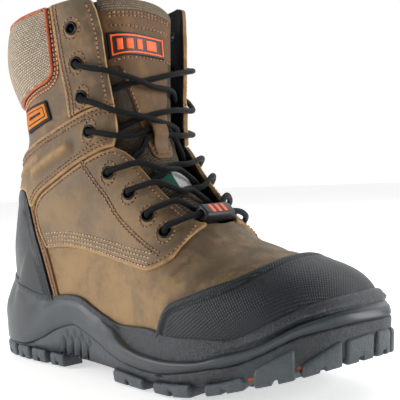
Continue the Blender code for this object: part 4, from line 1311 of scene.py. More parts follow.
class Finishes:
    """Every material of the boot, by its plain name."""

    def __init__(self) -> None:
        """Makes each material once."""
        effects = Effects()
        kinds = {
            "skin": Leather("vamp_nubuck"),
            "panel": Leather("panel_nubuck", low=(0.258, 0.172, 0.092), high=(0.154, 0.102, 0.060),
                             pale=(0.330, 0.210, 0.102)),
            "tongue": Leather("tongue_nubuck", low=(0.172, 0.078, 0.020), high=(0.100, 0.051, 0.018),
                              pale=(0.23, 0.13, 0.05)),
            "strip": Leather("strip_nubuck", low=(0.215, 0.112, 0.048), high=(0.19, 0.105, 0.05),
                             worn=(0.24, 0.115, 0.045)),
            "cap": DottedGuard(),
            "counter": Rubber("smooth_heel_guard", (0.009, 0.011, 0.013), (0.022, 0.026, 0.029), 0.34,
                              1800.0, 0.05),
            "smooth": Rubber("smooth_midsole", (0.041, 0.050, 0.055), (0.066, 0.077, 0.083),
                             0.33, 2600.0, 0.05),
            "rand": Rubber("pebbled_rand", (0.026, 0.032, 0.0355), (0.058, 0.067, 0.073), 0.36, 850.0, 0.85),
            "tread": Rubber("tread_rubber", (0.058, 0.070, 0.076), (0.100, 0.115, 0.123), 0.40, 1000.0, 0.6),
            # Painted shade of the needle holes
            "pit": Rubber("stitch_hole", (0.016, 0.009, 0.005), (0.03, 0.017, 0.009), 0.85, 1500.0, 0.05),
            "patch": Rubber("moulded_patch", (0.007, 0.007, 0.0085), (0.018, 0.018, 0.020),
                            0.42, 1800.0, 0.05),
            "signal": Rubber("orange_moulding", (0.92, 0.105, 0.008), (0.95, 0.17, 0.03),
                             0.45, 1800.0, 0.05),
            "mesh": Weave("collar_mesh", (0.600, 0.495, 0.375), (0.450, 0.365, 0.270),
                          (0.180, 0.140, 0.100)),
            "tongue_mesh": Weave("tongue_mesh", (0.250, 0.195, 0.135), (0.170, 0.130, 0.090),
                                 (0.060, 0.045, 0.030)),
            "gusset": Weave("gusset_mesh", (0.150, 0.112, 0.074), (0.082, 0.060, 0.040),
                            (0.016, 0.012, 0.009), 1.9, 1.4),
            "lining": Weave("black_lining", (0.005, 0.005, 0.0055), (0.003, 0.003, 0.0034),
                            (0.001, 0.001, 0.001), 1.4, 1.1, 0.25),
            "footbed": Weave("footbed_cloth", (0.035, 0.035, 0.037), (0.022, 0.022, 0.024),
                             (0.008, 0.008, 0.008), 1.6, 1.6, 0.25),
            "piping": Weave("orange_piping", (0.92, 0.30, 0.14), (0.84, 0.19, 0.07), (0.45, 0.09, 0.03), 1.2,
                            0.9, 0.3, 0.7),
            "tag_orange": Weave("orange_tag", (0.95, 0.36, 0.030), (0.86, 0.27, 0.016), (0.55, 0.14, 0.01),
                                0.9, 0.6, 0.15, 0.7),
            "tag_black": Weave("black_tag", (0.030, 0.032, 0.040), (0.018, 0.019, 0.025),
                               (0.008, 0.008, 0.01), 0.9, 0.6, 0.15, 0.7),
            "label_green": Weave("green_label", (0.012, 0.135, 0.075), (0.008, 0.10, 0.055),
                                 (0.004, 0.05, 0.03), 0.9, 0.6, 0.12, 0.6),
            "label_white": Weave("white_label", (0.78, 0.78, 0.76), (0.66, 0.66, 0.65), (0.4, 0.4, 0.4), 0.9,
                                 0.6, 0.12, 0.6),
            "lace": Braid("black_lace", (0.0012, 0.0014, 0.0018), (0.013, 0.0145, 0.017)),
            "thread": Thread("brown_thread", (0.185, 0.088, 0.046), (0.390, 0.225, 0.125)),
            "thread_tan": Thread("tan_thread", (0.400, 0.270, 0.160), (0.640, 0.480, 0.340)),
            "thread_pale": Thread("peach_thread", (0.62, 0.24, 0.12), (0.80, 0.40, 0.24)),
            "metal": Metal("gunmetal", (0.020, 0.022, 0.026), (0.10, 0.11, 0.125)),
        }
        self.made = {key: kind.make(effects) for key, kind in kinds.items()}

    def __getitem__(self, key: str) -> Material:
        """A material by its plain name."""
        return self.made[key]


@dataclass
class Bench:
    """What every sub-assembly is made from."""

    last: Last
    relief: Relief
    finish: Finishes


def hand_over(ob: Object, slot: str, *nodes: str) -> None:
    """Gives a finished piece to the frame and hides the solids it stands for."""
    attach(ob, "root")
    if nodes:
        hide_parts(*nodes)


def loft_faces(rings: int, count: int, caps: bool = True) -> list:
    """Faces of a tube through closed rings, with its ends closed."""
    faces = grid_faces(rings, count, 0, True).tolist()
    if caps:
        faces.append(list(range(count))[::-1])
        faces.append(list(range((rings - 1) * count, rings * count)))
    return faces


def tube(path: np.ndarray, radius: float, sides: int, start: int = 0) -> tuple[np.ndarray, list, np.ndarray]:
    """A round tube along a path.

    Args:
        path: Points of its centre.
        radius: Its radius.
        sides: Sides of its section.
        start: Number of its first point.

    Returns:
        Points, faces, and flat coordinates that go once round the tube per unit.
    """
    way = unit(np.gradient(path, axis=0))
    side = np.cross(way[0], [0.3, 0.5, 0.81])
    frames = []
    for t in way:
        side = unit(side - t * (side @ t))
        frames.append((side, np.cross(t, side)))
    a = np.linspace(0, 2 * math.pi, sides + 1)
    rings = np.array([p + radius * (np.cos(a)[:, None] * e + np.sin(a)[:, None] * f)
                      for p, (e, f) in zip(path, frames)])
    run = np.r_[0, np.cumsum(np.linalg.norm(np.diff(path, axis=0), axis=1))] / (2 * math.pi * radius)
    flat = np.stack([np.tile(a / (2 * math.pi), (len(path), 1)), np.repeat(run[:, None], sides + 1, 1)], 2)
    faces = grid_faces(len(path), sides + 1, start).tolist()
    first = start
    final = start + (len(path) - 1) * (sides + 1)
    faces.append([first + k for k in range(sides)][::-1])
    faces.append([final + k for k in range(sides)])
    return rings.reshape(-1, 3), faces, flat.reshape(-1, 2)


def tubes(paths: Sequence[np.ndarray], radii: Sequence[float],
          sides: int) -> tuple[np.ndarray, list, np.ndarray]:
    """Tubes along several paths, numbered as one piece.

    Args:
        paths: Points of each centre.
        radii: Radius of each tube.
        sides: Sides of their sections.

    Returns:
        Points, faces and flat coordinates.
    """
    verts, faces, flat, count = [], [], [], 0
    for path, radius in zip(paths, radii):
        part = tube(path, radius, sides, count)
        verts.append(part[0])
        faces += part[1]
        flat.append(part[2])
        count += len(part[0])
    return np.concatenate(verts), faces, np.concatenate(flat)


class SolePlan:
    """Plan outline of the sole at even stations, and the rim where its cup meets the upper."""

    COUNT = 480
    HIGHEST = 15.4

    def __init__(self, last: Last) -> None:
        """Works out the stations from the upper's surface."""
        self.fine = smooth_rows(SOLE, np.linspace(0, len(SOLE) - 1, 801))
        ring = np.r_[self.fine[:, (0, 1)], self.fine[-2:0:-1][:, (0, 2)]]
        closed = np.r_[ring, ring[:1]]
        total = np.linalg.norm(np.diff(closed, axis=0), axis=1).sum()
        self.loop = even_line(closed, total / self.COUNT)[:-1]
        way = np.roll(self.loop, -1, 0) - np.roll(self.loop, 1, 0)
        self.out = unit(np.stack([way[:, 1], -way[:, 0]], 1))
        step = np.linalg.norm(np.diff(np.r_[self.loop, self.loop[:1]], axis=0), axis=1)
        self.run = np.r_[0, np.cumsum(step)]
        self.toe = int(np.argmax(self.loop[:, 0]))
        self.x = self.loop[:, 0]
        self.rim, self.top = self._rim(last)

    def value(self, name: str, x: np.ndarray) -> np.ndarray:
        """A height or width of the sole at a length from the heel."""
        return np.interp(x, self.fine[:, 0], self.fine[:, SOLE_COLUMNS.index(name)])

    def _rim(self, last: Last) -> tuple[np.ndarray, np.ndarray]:
        """Rim of the cup in plan, and its height, at every station."""
        keep = last.sections <= self.HIGHEST
        grid = np.concatenate([last.grid[side.value][keep][2::3] for side in Side])
        z = grid[:, :, 2]
        rim, top = [], []
        for at in self.loop:
            height = float(table_at(CUP_TOP, at[0]))
            for _ in range(3):
                k = np.argmax(z < height, axis=1)
                ok = np.nonzero((z[:, 0] >= height) & (k > 0))[0]
                j = k[ok]
                high, low = grid[ok, j - 1], grid[ok, j]
                t = (high[:, 2] - height) / (high[:, 2] - low[:, 2])
                near = high[:, :2] * (1 - t)[:, None] + low[:, :2] * t[:, None]
                hit = near[np.argmin(np.linalg.norm(near - at, axis=1))]
                height = float(table_at(CUP_TOP, hit[0]))
            away = (at - hit) / max(np.linalg.norm(at - hit), 1e-6)
            rim.append(hit + away * (GAP + self.value("rim", at[0])))
            top.append(height)
        rim, top = np.array(rim), np.array(top)
        for _ in range(3):
            rim = 0.25 * np.roll(rim, 1, 0) + 0.5 * rim + 0.25 * np.roll(rim, -1, 0)
            top = 0.25 * np.roll(top, 1) + 0.5 * top + 0.25 * np.roll(top, -1)
        return rim, top

    def length_at(self, x: float, side: Side) -> float:
        """Length round the outline to a place on one side."""
        if side is Side.LATERAL:
            return float(np.interp(x, self.x[:self.toe + 1], self.run[:self.toe + 1]))
        return float(np.interp(x, self.x[self.toe:][::-1], self.run[self.toe:-1][::-1]))

    def where(self, length: np.ndarray) -> tuple[np.ndarray, np.ndarray]:
        """Plan points and outward directions at lengths round the outline."""
        length = np.asarray(length) % self.run[-1]
        loop, out = np.r_[self.loop, self.loop[:1]], np.r_[self.out, self.out[:1]]
        pick = [np.stack([np.interp(length, self.run, table[:, k]) for k in (0, 1)], 1)
                for table in (loop, out)]
        return pick[0], unit(pick[1])


@dataclass
class SoleUnit:
    """Moulded midsole cup, tread and footbed."""

    lip_rise: float = 1.6
    lip_step: float = 2.0
    lug_bevel: float = 1.7
    notch_depth: float = 2.4
    notch_half: float = 1.5
    rand_bulge: float = 2.3
    hump_depth: float = 1.1
    slot_depth: float = 2.8
    slot_half: float = 1.3
    bar_width: float = 9.0
    bar_inset: float = 24.0

    # Rolled rim of the cup, in parts of its width: down from its top, and inwards
    RIM = ((0.46, -0.04), (0.22, 0.10), (0.07, 0.28), (0.0, 0.55), (0.02, 0.8))
    # Upright slots in the side of the arch
    SLOTS = (97.0, 106.0, 115.0, 124.0)
    # Painted shade on each row of the tread's side, darkest in the groove and low between the lugs
    TREAD_DARK = (0.7, 0.7, 0.6, 0.3, 0.1, 0.0, 0.0, 0.5, 1.0, 1.0, 1.0)
    INSERT_ROW = 8

    def build(self, bench: Bench) -> None:
        """Makes and hands over the pieces of the sole."""
        self.plan = SolePlan(bench.last)
        self.midsole(bench)
        self.outsole(bench)
        self.insole(bench)

    @staticmethod
    def across(start: int, count: int, flip: bool) -> list:
        """Faces that close a ring of the sole from side to side."""
        faces = []
        for i in range(count // 2):
            ring = [i, i + 1, (count - i - 1) % count, (count - i) % count]
            ring = [start + k for k in dict.fromkeys(ring)]
            if len(ring) > 2:
                faces.append(ring[::-1] if flip else ring)
        return faces

    def midsole(self, bench: Bench) -> None:
        """The cup: convex wave below, lip, pebbled rand and a rolled rim."""
        plan = self.plan
        x, top = plan.x, plan.top
        groove, lip = table_at(GROOVE, x), table_at(LIP, x)
        lip = np.minimum(lip, top - 4.0)
        size = np.clip((top - table_at(LIP, x)) / 6.0, 0, 1) * (1 - 0.85 * soft_step(x, 284, 302))
        split = plan.value("split", x)
        wave, rand = 0, 1
        rows = [(groove - 0.8, -9.0, wave), (groove - 0.6, -1.4, wave), (groove + 0.2, -0.5, wave),
                (groove + 1.0, 0.0, wave)]
        for f in (0.14, 0.3, 0.46, 0.62, 0.78, 0.9):
            swell = self.lip_rise * np.sin(0.5 * math.pi * f) * (0.4 + 0.6 * size)
            rows.append((groove + 1.0 + f * (lip - 0.8 - groove - 1.0), swell, wave))
        rows += [(lip - 0.8, 0.9 * self.lip_rise * size, wave),
                 (lip - 0.2, 0.7 * self.lip_rise * size, wave),
                 (lip + 0.2, 0.1 * size, wave), (lip + 0.5, -0.6 * self.lip_step * size, wave),
                 (lip + 1.2, -self.lip_step * size, rand)]
        wide = plan.value("rim", x)
        for f in (0.2, 0.4, 0.6, 0.8):
            bulge = self.rand_bulge * math.sin(math.pi * f) * soft_step(x, 225, 285)
            bulge = bulge * (1 - 0.5 * soft_step(x, 290, 306))
            rows.append((lip + 1.2 + f * (top - 0.4 * wide - lip - 1.2),
                         bulge - self.lip_step * size * (1 - f), rand))
        rows += [(top - down * wide, -inward * wide, rand) for down, inward in self.RIM]
        rows += [(top - 0.1 * wide, -wide - 0.1, rand), (top - 5.0, -wide - 1.0, rand),
                 (np.minimum(top - 5.2, self.floor(bench.last, x)), -wide - 0.5, rand)]
        tall = top - split
        rings, marks = [], []
        for z, push, mark in rows:
            share = soft_step(np.clip((z - split - 0.35 * tall) / (0.65 * tall), 0, 1), 0, 1)[:, None]
            flat = plan.loop * (1 - share) + plan.rim * share
            push = push + self.hump(flat[:, 0], z)
            rings.append(np.c_[flat + push[:, None] * plan.out, z])
            marks.append(mark)
        count = len(plan.loop)
        verts = np.concatenate(rings)
        faces = grid_faces(len(rings), count, 0, True).tolist()
        parts = [marks[i + 1] for i in range(len(rings) - 1) for _ in range(count)]
        extra = self.across(0, count, False) + self.across((len(rings) - 1) * count, count, True)
        run = np.tile(plan.run[:-1], len(rings)) / 100
        # Painted shade on the front of the sole: darker in the groove, on the lower half of the wave and in
        # the recess under the lip. The heel is also made evenly darker.
        height = np.concatenate([(z - groove) / (lip - groove) for z, _, _ in rows])
        dark = np.interp(height, (-0.1, 0.08, 0.26, 0.5, 0.98, 1.06, 1.2, 1.5),
                         (1, 1, 0.75, 0, 0, 0.9, 0.5, 0))
        heel = 0.32 * (1 - soft_step(x, 40, 90))
        dark = dark * np.tile(soft_step(x, 120, 190), len(rings)) + np.tile(heel, len(rings))
        ob = add_mesh("midsole_cup", verts, faces + extra, [bench.finish["smooth"], bench.finish["rand"]],
                      np.c_[run, verts[:, 2] / 100], parts=parts + [0] * len(extra))
        store(ob.data, "shade", dark)
        outwards(ob)
        hand_over(ob, "sole", "midsole")

    @staticmethod
    def floor(last: Last, x: np.ndarray) -> np.ndarray:
        """Height of the cup's floor, just under the lower edge of the upper."""
        us = np.linspace(0.3, FOOTBED_END, 60)
        lines = [last.at(us, side.value * last.reach(us, side.value)) for side in Side]
        heights = [np.interp(x, line[::-1, 0], line[::-1, 2]) for line in lines]
        return np.minimum(*heights) - 0.4

    def hump(self, x: np.ndarray, z: np.ndarray) -> np.ndarray:
        """Step between the heel and the raised wave of the waist."""
        edge = np.interp(z, (22, 30, 39, 47, 55), (60, 66, 77, 92, 104))
        behind = edge - x
        return -self.hump_depth * np.exp(-((behind - 6.0) / 9.0) ** 2) * soft_step(z, 22, 34)

    def outsole(self, bench: Bench) -> None:
        """The tread: side wall under the groove, base plate, lugs and bars."""
        plan = self.plan
        x = plan.x
        groove, lug, under = table_at(GROOVE, x), table_at(LUG_TOP, x), plan.value("under", x)
        under = np.minimum(under, lug - 0.6)
        middle = 0.5 * (lug + groove)
        slots = [sum(-self.slot_depth * np.exp(-((x - at - lean) / self.slot_half) ** 2) for at in self.SLOTS)
                 for lean in (4.0, 0.0, -3.0)]
        rows = ((groove + 0.2, -9.0), (groove + 0.2, -2.0), (groove - 0.5, -2.0), (groove - 0.9, -1.2),
                (groove - 1.6, -0.9 + 0.2 * slots[0]), (0.4 * groove + 0.6 * middle, -0.9 + 0.7 * slots[0]),
                (middle, -1.0 + slots[1]), (lug - 0.2, -1.4 + slots[2]), (under + 1.8, -1.9), (under, -2.6),
                (under, -12.0))
        rings = [np.c_[plan.loop + np.broadcast_to(push, x.shape)[:, None] * plan.out, z]
                 for z, push in rows]
        count = len(x)
        faces = grid_faces(len(rings), count, 0, True).tolist()
        faces += self.across(0, count, False) + self.across((len(rings) - 1) * count, count, True)
        spots = [float(y) < 0 and any(low < a < high for low, high in INSERT_SPOTS) for a, y in plan.loop]
        parts = [int(row == self.INSERT_ROW and spot) for row in range(len(rings) - 1) for spot in spots]
        parts += [0] * (len(faces) - len(parts))
        finishes = [bench.finish["tread"], bench.finish["signal"]]
        base = add_mesh("tread", np.concatenate(rings), faces, finishes, parts=parts)
        # Painted shade: the whole side is darker at the front, where it lies in the recess under the wave,
        # and darker in the arch's slots
        front = 0.9 * soft_step(x, 138, 172)
        dark = [np.maximum(front, level) for level in self.TREAD_DARK]
        for row, slot in ((5, slots[0]), (6, slots[1]), (7, slots[2])):
            dark[row] = np.clip(dark[row] - 0.36 * slot, 0, 1)
        store(base.data, "shade", np.concatenate(dark))
        outwards(base)
        pieces = [base]
        for side in Side:
            for low, high, *tops in LUG_ENDS + TOE_LUGS + HEEL_LUG_ENDS:
                ends = sorted((plan.length_at(low, side), plan.length_at(high, side)))
                pieces.append(self.lug(bench, *ends, ((low, high), tops) if tops else None))
        toe = [plan.length_at(TOE_LUG_END, side) for side in Side]
        heel = (plan.length_at(HEEL_LUG_START, Side.MEDIAL),
                plan.length_at(HEEL_LUG_START, Side.LATERAL) + plan.run[-1])
        pieces += [self.lug(bench, *toe), self.lug(bench, *heel)]
        pieces += [self.bar(bench, at) for at in FOREFOOT_BARS + HEEL_BARS]
        hand_over(join(pieces), "tread", "outsole")

    def lug(self, bench: Bench, start: float, end: float, slope: tuple | None = None) -> Object:
        """One pillow-like lug of the edge, notched below.

        Args:
            bench: Surface and finishes.
            start: Length round the outline where it starts.
            end: Length where it ends.
            slope: X of its ends and the height of its top there.

        Returns:
            The object.
        """
        length = end - start
        centre = 0.5 * (start + end)
        half = min(self.notch_half, 0.12 * length)
        soft = np.array([0.0, 0.25, 0.7, 1.3, 2.0])
        at = np.r_[start + soft, np.linspace(start + 2.6, centre - half - 0.4, 5), centre - half,
                   centre + half, np.linspace(centre + half + 0.4, end - 2.6, 5), end - soft[::-1]]
        ease = np.interp(np.minimum(at - start, end - at), soft, (2.0, 1.2, 0.55, 0.15, 0.0))
        raised = np.abs(at - centre) <= half + 1e-6
        flat, out = self.plan.where(at)
        low = self.plan.value("tread", flat[:, 0])
        top = table_at(LUG_TOP, flat[:, 0]) if slope is None else np.interp(flat[:, 0], *slope)
        top = np.maximum(top, low + 4) - ease
        under = self.plan.value("under", flat[:, 0]) + 1.2
        foot = low + np.where(raised, np.minimum(self.notch_depth, 0.4 * (top - low)), 0.0) + 0.3 * ease
        deep = np.minimum(LUG_DEPTH, 0.7 * length + 4)
        rings = []
        for e, o, f, h, u, x in zip(flat, out, foot, top, under, ease):
            shape = ((-deep, f), (-2.0 - x, f), (-0.9 - x, f + 0.3), (-0.4 - x, f + 1.1), (0.3 - x, h - 2.6),
                     (-0.1 - x, h - 1.1), (-0.9 - x, h - 0.3), (-2.2 - x, h), (-3.4 - x, h),
                     (-deep, max(u, f + 1)))
            rings.append(np.array([(*(e + push * o), z) for push, z in shape]))
        ob = add_mesh("lug", np.concatenate(rings), loft_faces(len(rings), 10), [bench.finish["tread"]],
                      sharp=50)
        outwards(ob)
        return ob

    def bar(self, bench: Bench, x: float) -> Object:
        """One cross bar of the tread."""
        low_y = self.plan.value("lateral", x) + self.bar_inset
        high_y = self.plan.value("medial", x) - self.bar_inset
        bpy.ops.mesh.primitive_cube_add(size=1.0)
        ob = bpy.context.object
        tread, under = float(self.plan.value("tread", x)), float(self.plan.value("under", x)) + 1.2
        centre = (np.array([x, 0.5 * (low_y + high_y), 0.5 * (tread + under)]) - ORIGIN) * MM
        size = np.array([self.bar_width, high_y - low_y, under - tread]) * MM
        ob.data.transform(Matrix.LocRotScale(centre.tolist(), None, size.tolist()))
        ob.data.materials.append(bench.finish["tread"])
        bevel(ob, self.lug_bevel, 2, 50.0)
        return ob

    @staticmethod
    def insole(bench: Bench) -> None:
        """The footbed on the floor of the cup."""
        us = np.r_[0.3, 0.5, 0.7, 1.0, np.linspace(1.3, FOOTBED_END, 60)]
        columns = 25
        sides = []
        for side in Side:
            line = bench.last.at(us, side.value * bench.last.reach(us, side.value))
            way = np.gradient(line[:, :2], axis=0)
            out = unit(np.stack([way[:, 1], -way[:, 0]], 1))
            line[:, :2] -= side.value * out * (WALL + 1.4)
            sides.append(line)
        share = np.linspace(0, 1, columns)
        grid = sides[0][:, None] * (1 - share)[None, :, None] + sides[1][:, None] * share[None, :, None]
        dish = INSOLE_THICK * (1 - 0.35 * np.sin(math.pi * share) ** 2)
        high = grid.copy()
        high[:, :, 2] += GAP + dish
        low = grid + np.array([0, 0, GAP])
        verts = np.concatenate([high.reshape(-1, 3), low.reshape(-1, 3)])
        size = len(us) * columns
        faces = grid_faces(len(us), columns).tolist()
        walls = [[a, b, b + size, a + size] for a, b in boundary_edges(faces)]
        faces += [[k + size for k in f[::-1]] for f in faces] + [w[::-1] for w in walls]
        ob = add_mesh("footbed", verts, faces, [bench.finish["footbed"]], verts[:, :2] / 100)
        outwards(ob)
        hand_over(ob, "lining", "insole")


def smooth_outline(*lines: Sequence[Sequence[float]]) -> np.ndarray:
    """A closed outline from stretches, each one smoothed where it has more than two points."""
    parts = [smooth_line(line, 6) if len(line) > 2 else np.array(line, float) for line in lines]
    return np.concatenate(parts)


EVERYWHERE = ((-60, -40), (400, -40), (400, 320), (-60, 320))
BOTH = (Side.LATERAL, Side.MEDIAL)
FLAP_NAMES = ((Side.LATERAL, "outer"), (Side.MEDIAL, "inner"))
TOE_CAP = smooth_outline(TOE_CAP_BORDER, ((330, 95), (330, -10), (190, -10)))
COUNTER = smooth_outline(COUNTER_BORDER, COUNTER_TOP, ((-40, 119), (-40, -10), (92, -10)))


@dataclass
class UpperShell:
    """Hollow upper: skin outside, dark lining inside, and the overlays sewn on it."""

    def build(self, bench: Bench) -> None:
        """Makes and hands over the shell and its overlays."""
        panel = Panel("upper_shell", np.array(EVERYWHERE, float), (0.02, COLLAR), BOTH, 0.0, 0.0, 0.6, 250,
                      62, tuple(range(1, len(EYELETS) + 1)), wall=WALL)
        shell = panel.build(bench.last, bench.relief, bench.finish["skin"], bench.finish["lining"])
        hand_over(shell, "upper", "upper")
        self.overlays(bench)
        self.collar(bench)

    @staticmethod
    def ribs(u: np.ndarray, s: np.ndarray, points: np.ndarray) -> np.ndarray:
        """Two raised ribs along the border of the toe cap."""
        gap, _ = inside_depth(points.reshape(-1, 3)[:, (0, 2)], TOE_CAP)
        gap = gap.reshape(u.shape)
        border = 1.0 * np.exp(-((gap - 1.9) / 1.6) ** 4) - 0.7 * np.exp(-((gap - 4.6) / 0.8) ** 2)
        return border + 0.35 * np.exp(-((gap - 7.0) / 1.5) ** 2)

    @staticmethod
    def bead(u: np.ndarray, s: np.ndarray, points: np.ndarray) -> np.ndarray:
        """A raised border round the heel guard, with three grooves that fade out at its top."""
        gap, _ = inside_depth(points.reshape(-1, 3)[:, (0, 2)], COUNTER)
        gap = gap.reshape(u.shape)
        lines = sum(np.exp(-((gap - at) / 0.75) ** 2) for at in (2.4, 5.4, 8.4))
        lines = lines * (1 - soft_step(points[..., 2], 98, 108))
        return 0.6 * np.exp(-((gap - 3.9) / 4.5) ** 4) - 1.3 * lines

    @staticmethod
    def pad(u: np.ndarray, s: np.ndarray, points: np.ndarray) -> np.ndarray:
        """Swell of the padded collar."""
        a = np.clip((u - 18.4) / 2.6, 0, 1)
        swell = np.sin(math.pi * (0.02 + 0.86 * a)) ** 1.2
        return PAD_BULGE * swell * np.clip((101.5 - points[..., 0]) / 26.0, 0, 1) ** 0.7

    @staticmethod
    def lay(bench: Bench, panel: Panel, finish: str, slot: str, *nodes: str) -> None:
        """Builds one overlay and hands it over."""
        hand_over(panel.build(bench.last, bench.relief, bench.finish[finish]), slot, *nodes)

    def overlays(self, bench: Bench) -> None:
        """Toe cap, heel guard, quarters, ankle band, facings and side tag."""
        quarter = smooth_outline(QUARTER_REAR, QUARTER_TOP, ((230, 122), (215, 112), (201.5, 93)),
                                 QUARTER_FRONT, QUARTER_LOW)
        band = smooth_outline(BAND_TOP, BAND_LOW)
        facing = smooth_outline(FACING_REAR, FACING_LOW, ((180, 260), (106, 260)))
        cap_panel = Panel("toe_guard", TOE_CAP, (0.02, 7.1), BOTH, PANEL, radius=0.5, rows=210, columns=150,
                          bulge=self.ribs)
        self.lay(bench, cap_panel, "cap", "guard", "toe_cap")
        heel_panel = Panel("heel_guard", COUNTER, (9.0, 17.5), BOTH, PANEL, radius=0.6, rows=190,
                           columns=170, bulge=self.bead)
        self.lay(bench, heel_panel, "counter", "guard", "heel_counter")
        for side, word in FLAP_NAMES:
            panel = Panel("quarter_" + word, quarter, (7.3, 15.5), (side,), PANEL, columns=110,
                          holes=(5, 6, 7, 8))
            self.lay(bench, panel, "panel", "leather", "quarter_" + side.name.lower())
        strap = Panel("ankle_strap", band, (11.6, 18.2), BOTH, BAND, radius=0.9, rows=120, columns=110,
                      holes=(4,))
        self.lay(bench, strap, "panel", "leather", "ankle_band")
        for side, word in FLAP_NAMES:
            panel = Panel("facing_" + word, facing, (12.5, COLLAR), (side,), PANEL, columns=90,
                          holes=(1, 2, 3))
            self.lay(bench, panel, "panel", "leather", "facing_" + side.name.lower())
        strip = Panel("heel_strip", smooth_outline(STRIP_REAR, STRIP_FRONT), (9.5, 15.8), BOTH, STRIP,
                      radius=0.5, rows=170, columns=150)
        self.lay(bench, strip, "strip", "leather")
        tag = Panel("ankle_tag", np.array(TAG_OUTLINE, float), (14.5, 20.0), (Side.LATERAL,), TAG,
                    radius=0.4, rows=110, columns=150)
        self.lay(bench, tag, "tag_black", "patch", "side_tag")
        centre = np.mean(TAG_OUTLINE, axis=0)
        fields = (("field", 0.87, 0.74, 0.3, "tag_orange"), ("line", 0.75, 0.52, 0.4, "tag_black"),
                  ("core", 0.71, 0.42, 0.5, "tag_orange"), ("bar", 0.52, 0.12, 0.6, "tag_black"))
        for name, long, tall, rise, finish in fields:
            shape = centre + (np.array(TAG_OUTLINE) - centre) @ TAG_AXES.T @ np.diag((long, tall)) @ TAG_AXES
            inner = Panel("ankle_tag_" + name, shape, (15.6, 19.0), (Side.LATERAL,), TAG + rise, radius=0.15,
                          rows=170, columns=260)
            self.lay(bench, inner, finish, "patch")

    def collar(self, bench: Bench) -> None:
        """Padded mesh collar and its orange piping."""
        border = smooth_outline(PAD_BORDER, ((-60, 164), (-60, 270), (101.4, 270)))
        pad = Panel("padded_collar", border, (16.5, COLLAR), BOTH, PANEL - 0.2, radius=1.2, rows=110,
                    columns=130, bulge=self.pad)
        ob = pad.build(bench.last, bench.relief, bench.finish["mesh"])
        hand_over(ob, "mesh", "collar_pad")
        line = even_line(smooth_line(PAD_BORDER, 8), 1.0)
        line = line[(line[:, 1] < 236) & (line[:, 0] > 7)]
        paths, radii = [], []
        u = np.full(90, COLLAR - 0.07)
        borders = [(side, bench.last.find(line, side)) for side in Side]
        for side, place in borders + [(side, None) for side in Side]:
            rise, thick = 1.7, 0.95
            if place is None:
                s = np.linspace(0.25, 1.0, 90) * bench.last.reach(u, side.value)
                place = np.c_[u, side.value * s]
                place = place[bench.last.at(place[:, 0], place[:, 1])[:, 0] < 100.0]
                rise = PANEL + self.pad(place[:, 0], place[:, 1], bench.last.at(place[:, 0], place[:, 1]))
                thick = 0.9
            surface = bench.last.at(place[:, 0], place[:, 1])
            normals = bench.last.normal(place[:, 0], place[:, 1])
            path = surface + (rise + bench.relief.at(surface))[:, None] * normals
            paths.append(even_line(path, 1.2))
            radii.append(thick)
        verts, faces, flat = tubes(paths, radii, 10)
        ob = add_mesh("collar_piping", verts, faces, [bench.finish["piping"]], flat * 0.08)
        outwards(ob)
        hand_over(ob, "mesh")


def surface_height(k: int) -> float:
    """Height of the overlay at an eyelet."""
    return (BAND if k == 4 else PANEL) + GAP


def eyelet_at(k: int, side: Side) -> tuple[float, float]:
    """Section number and signed length of an eyelet."""
    place = EYELETS[k - 1]
    return float(place[0]), float(side.value * place[1 if side is Side.LATERAL else 2])


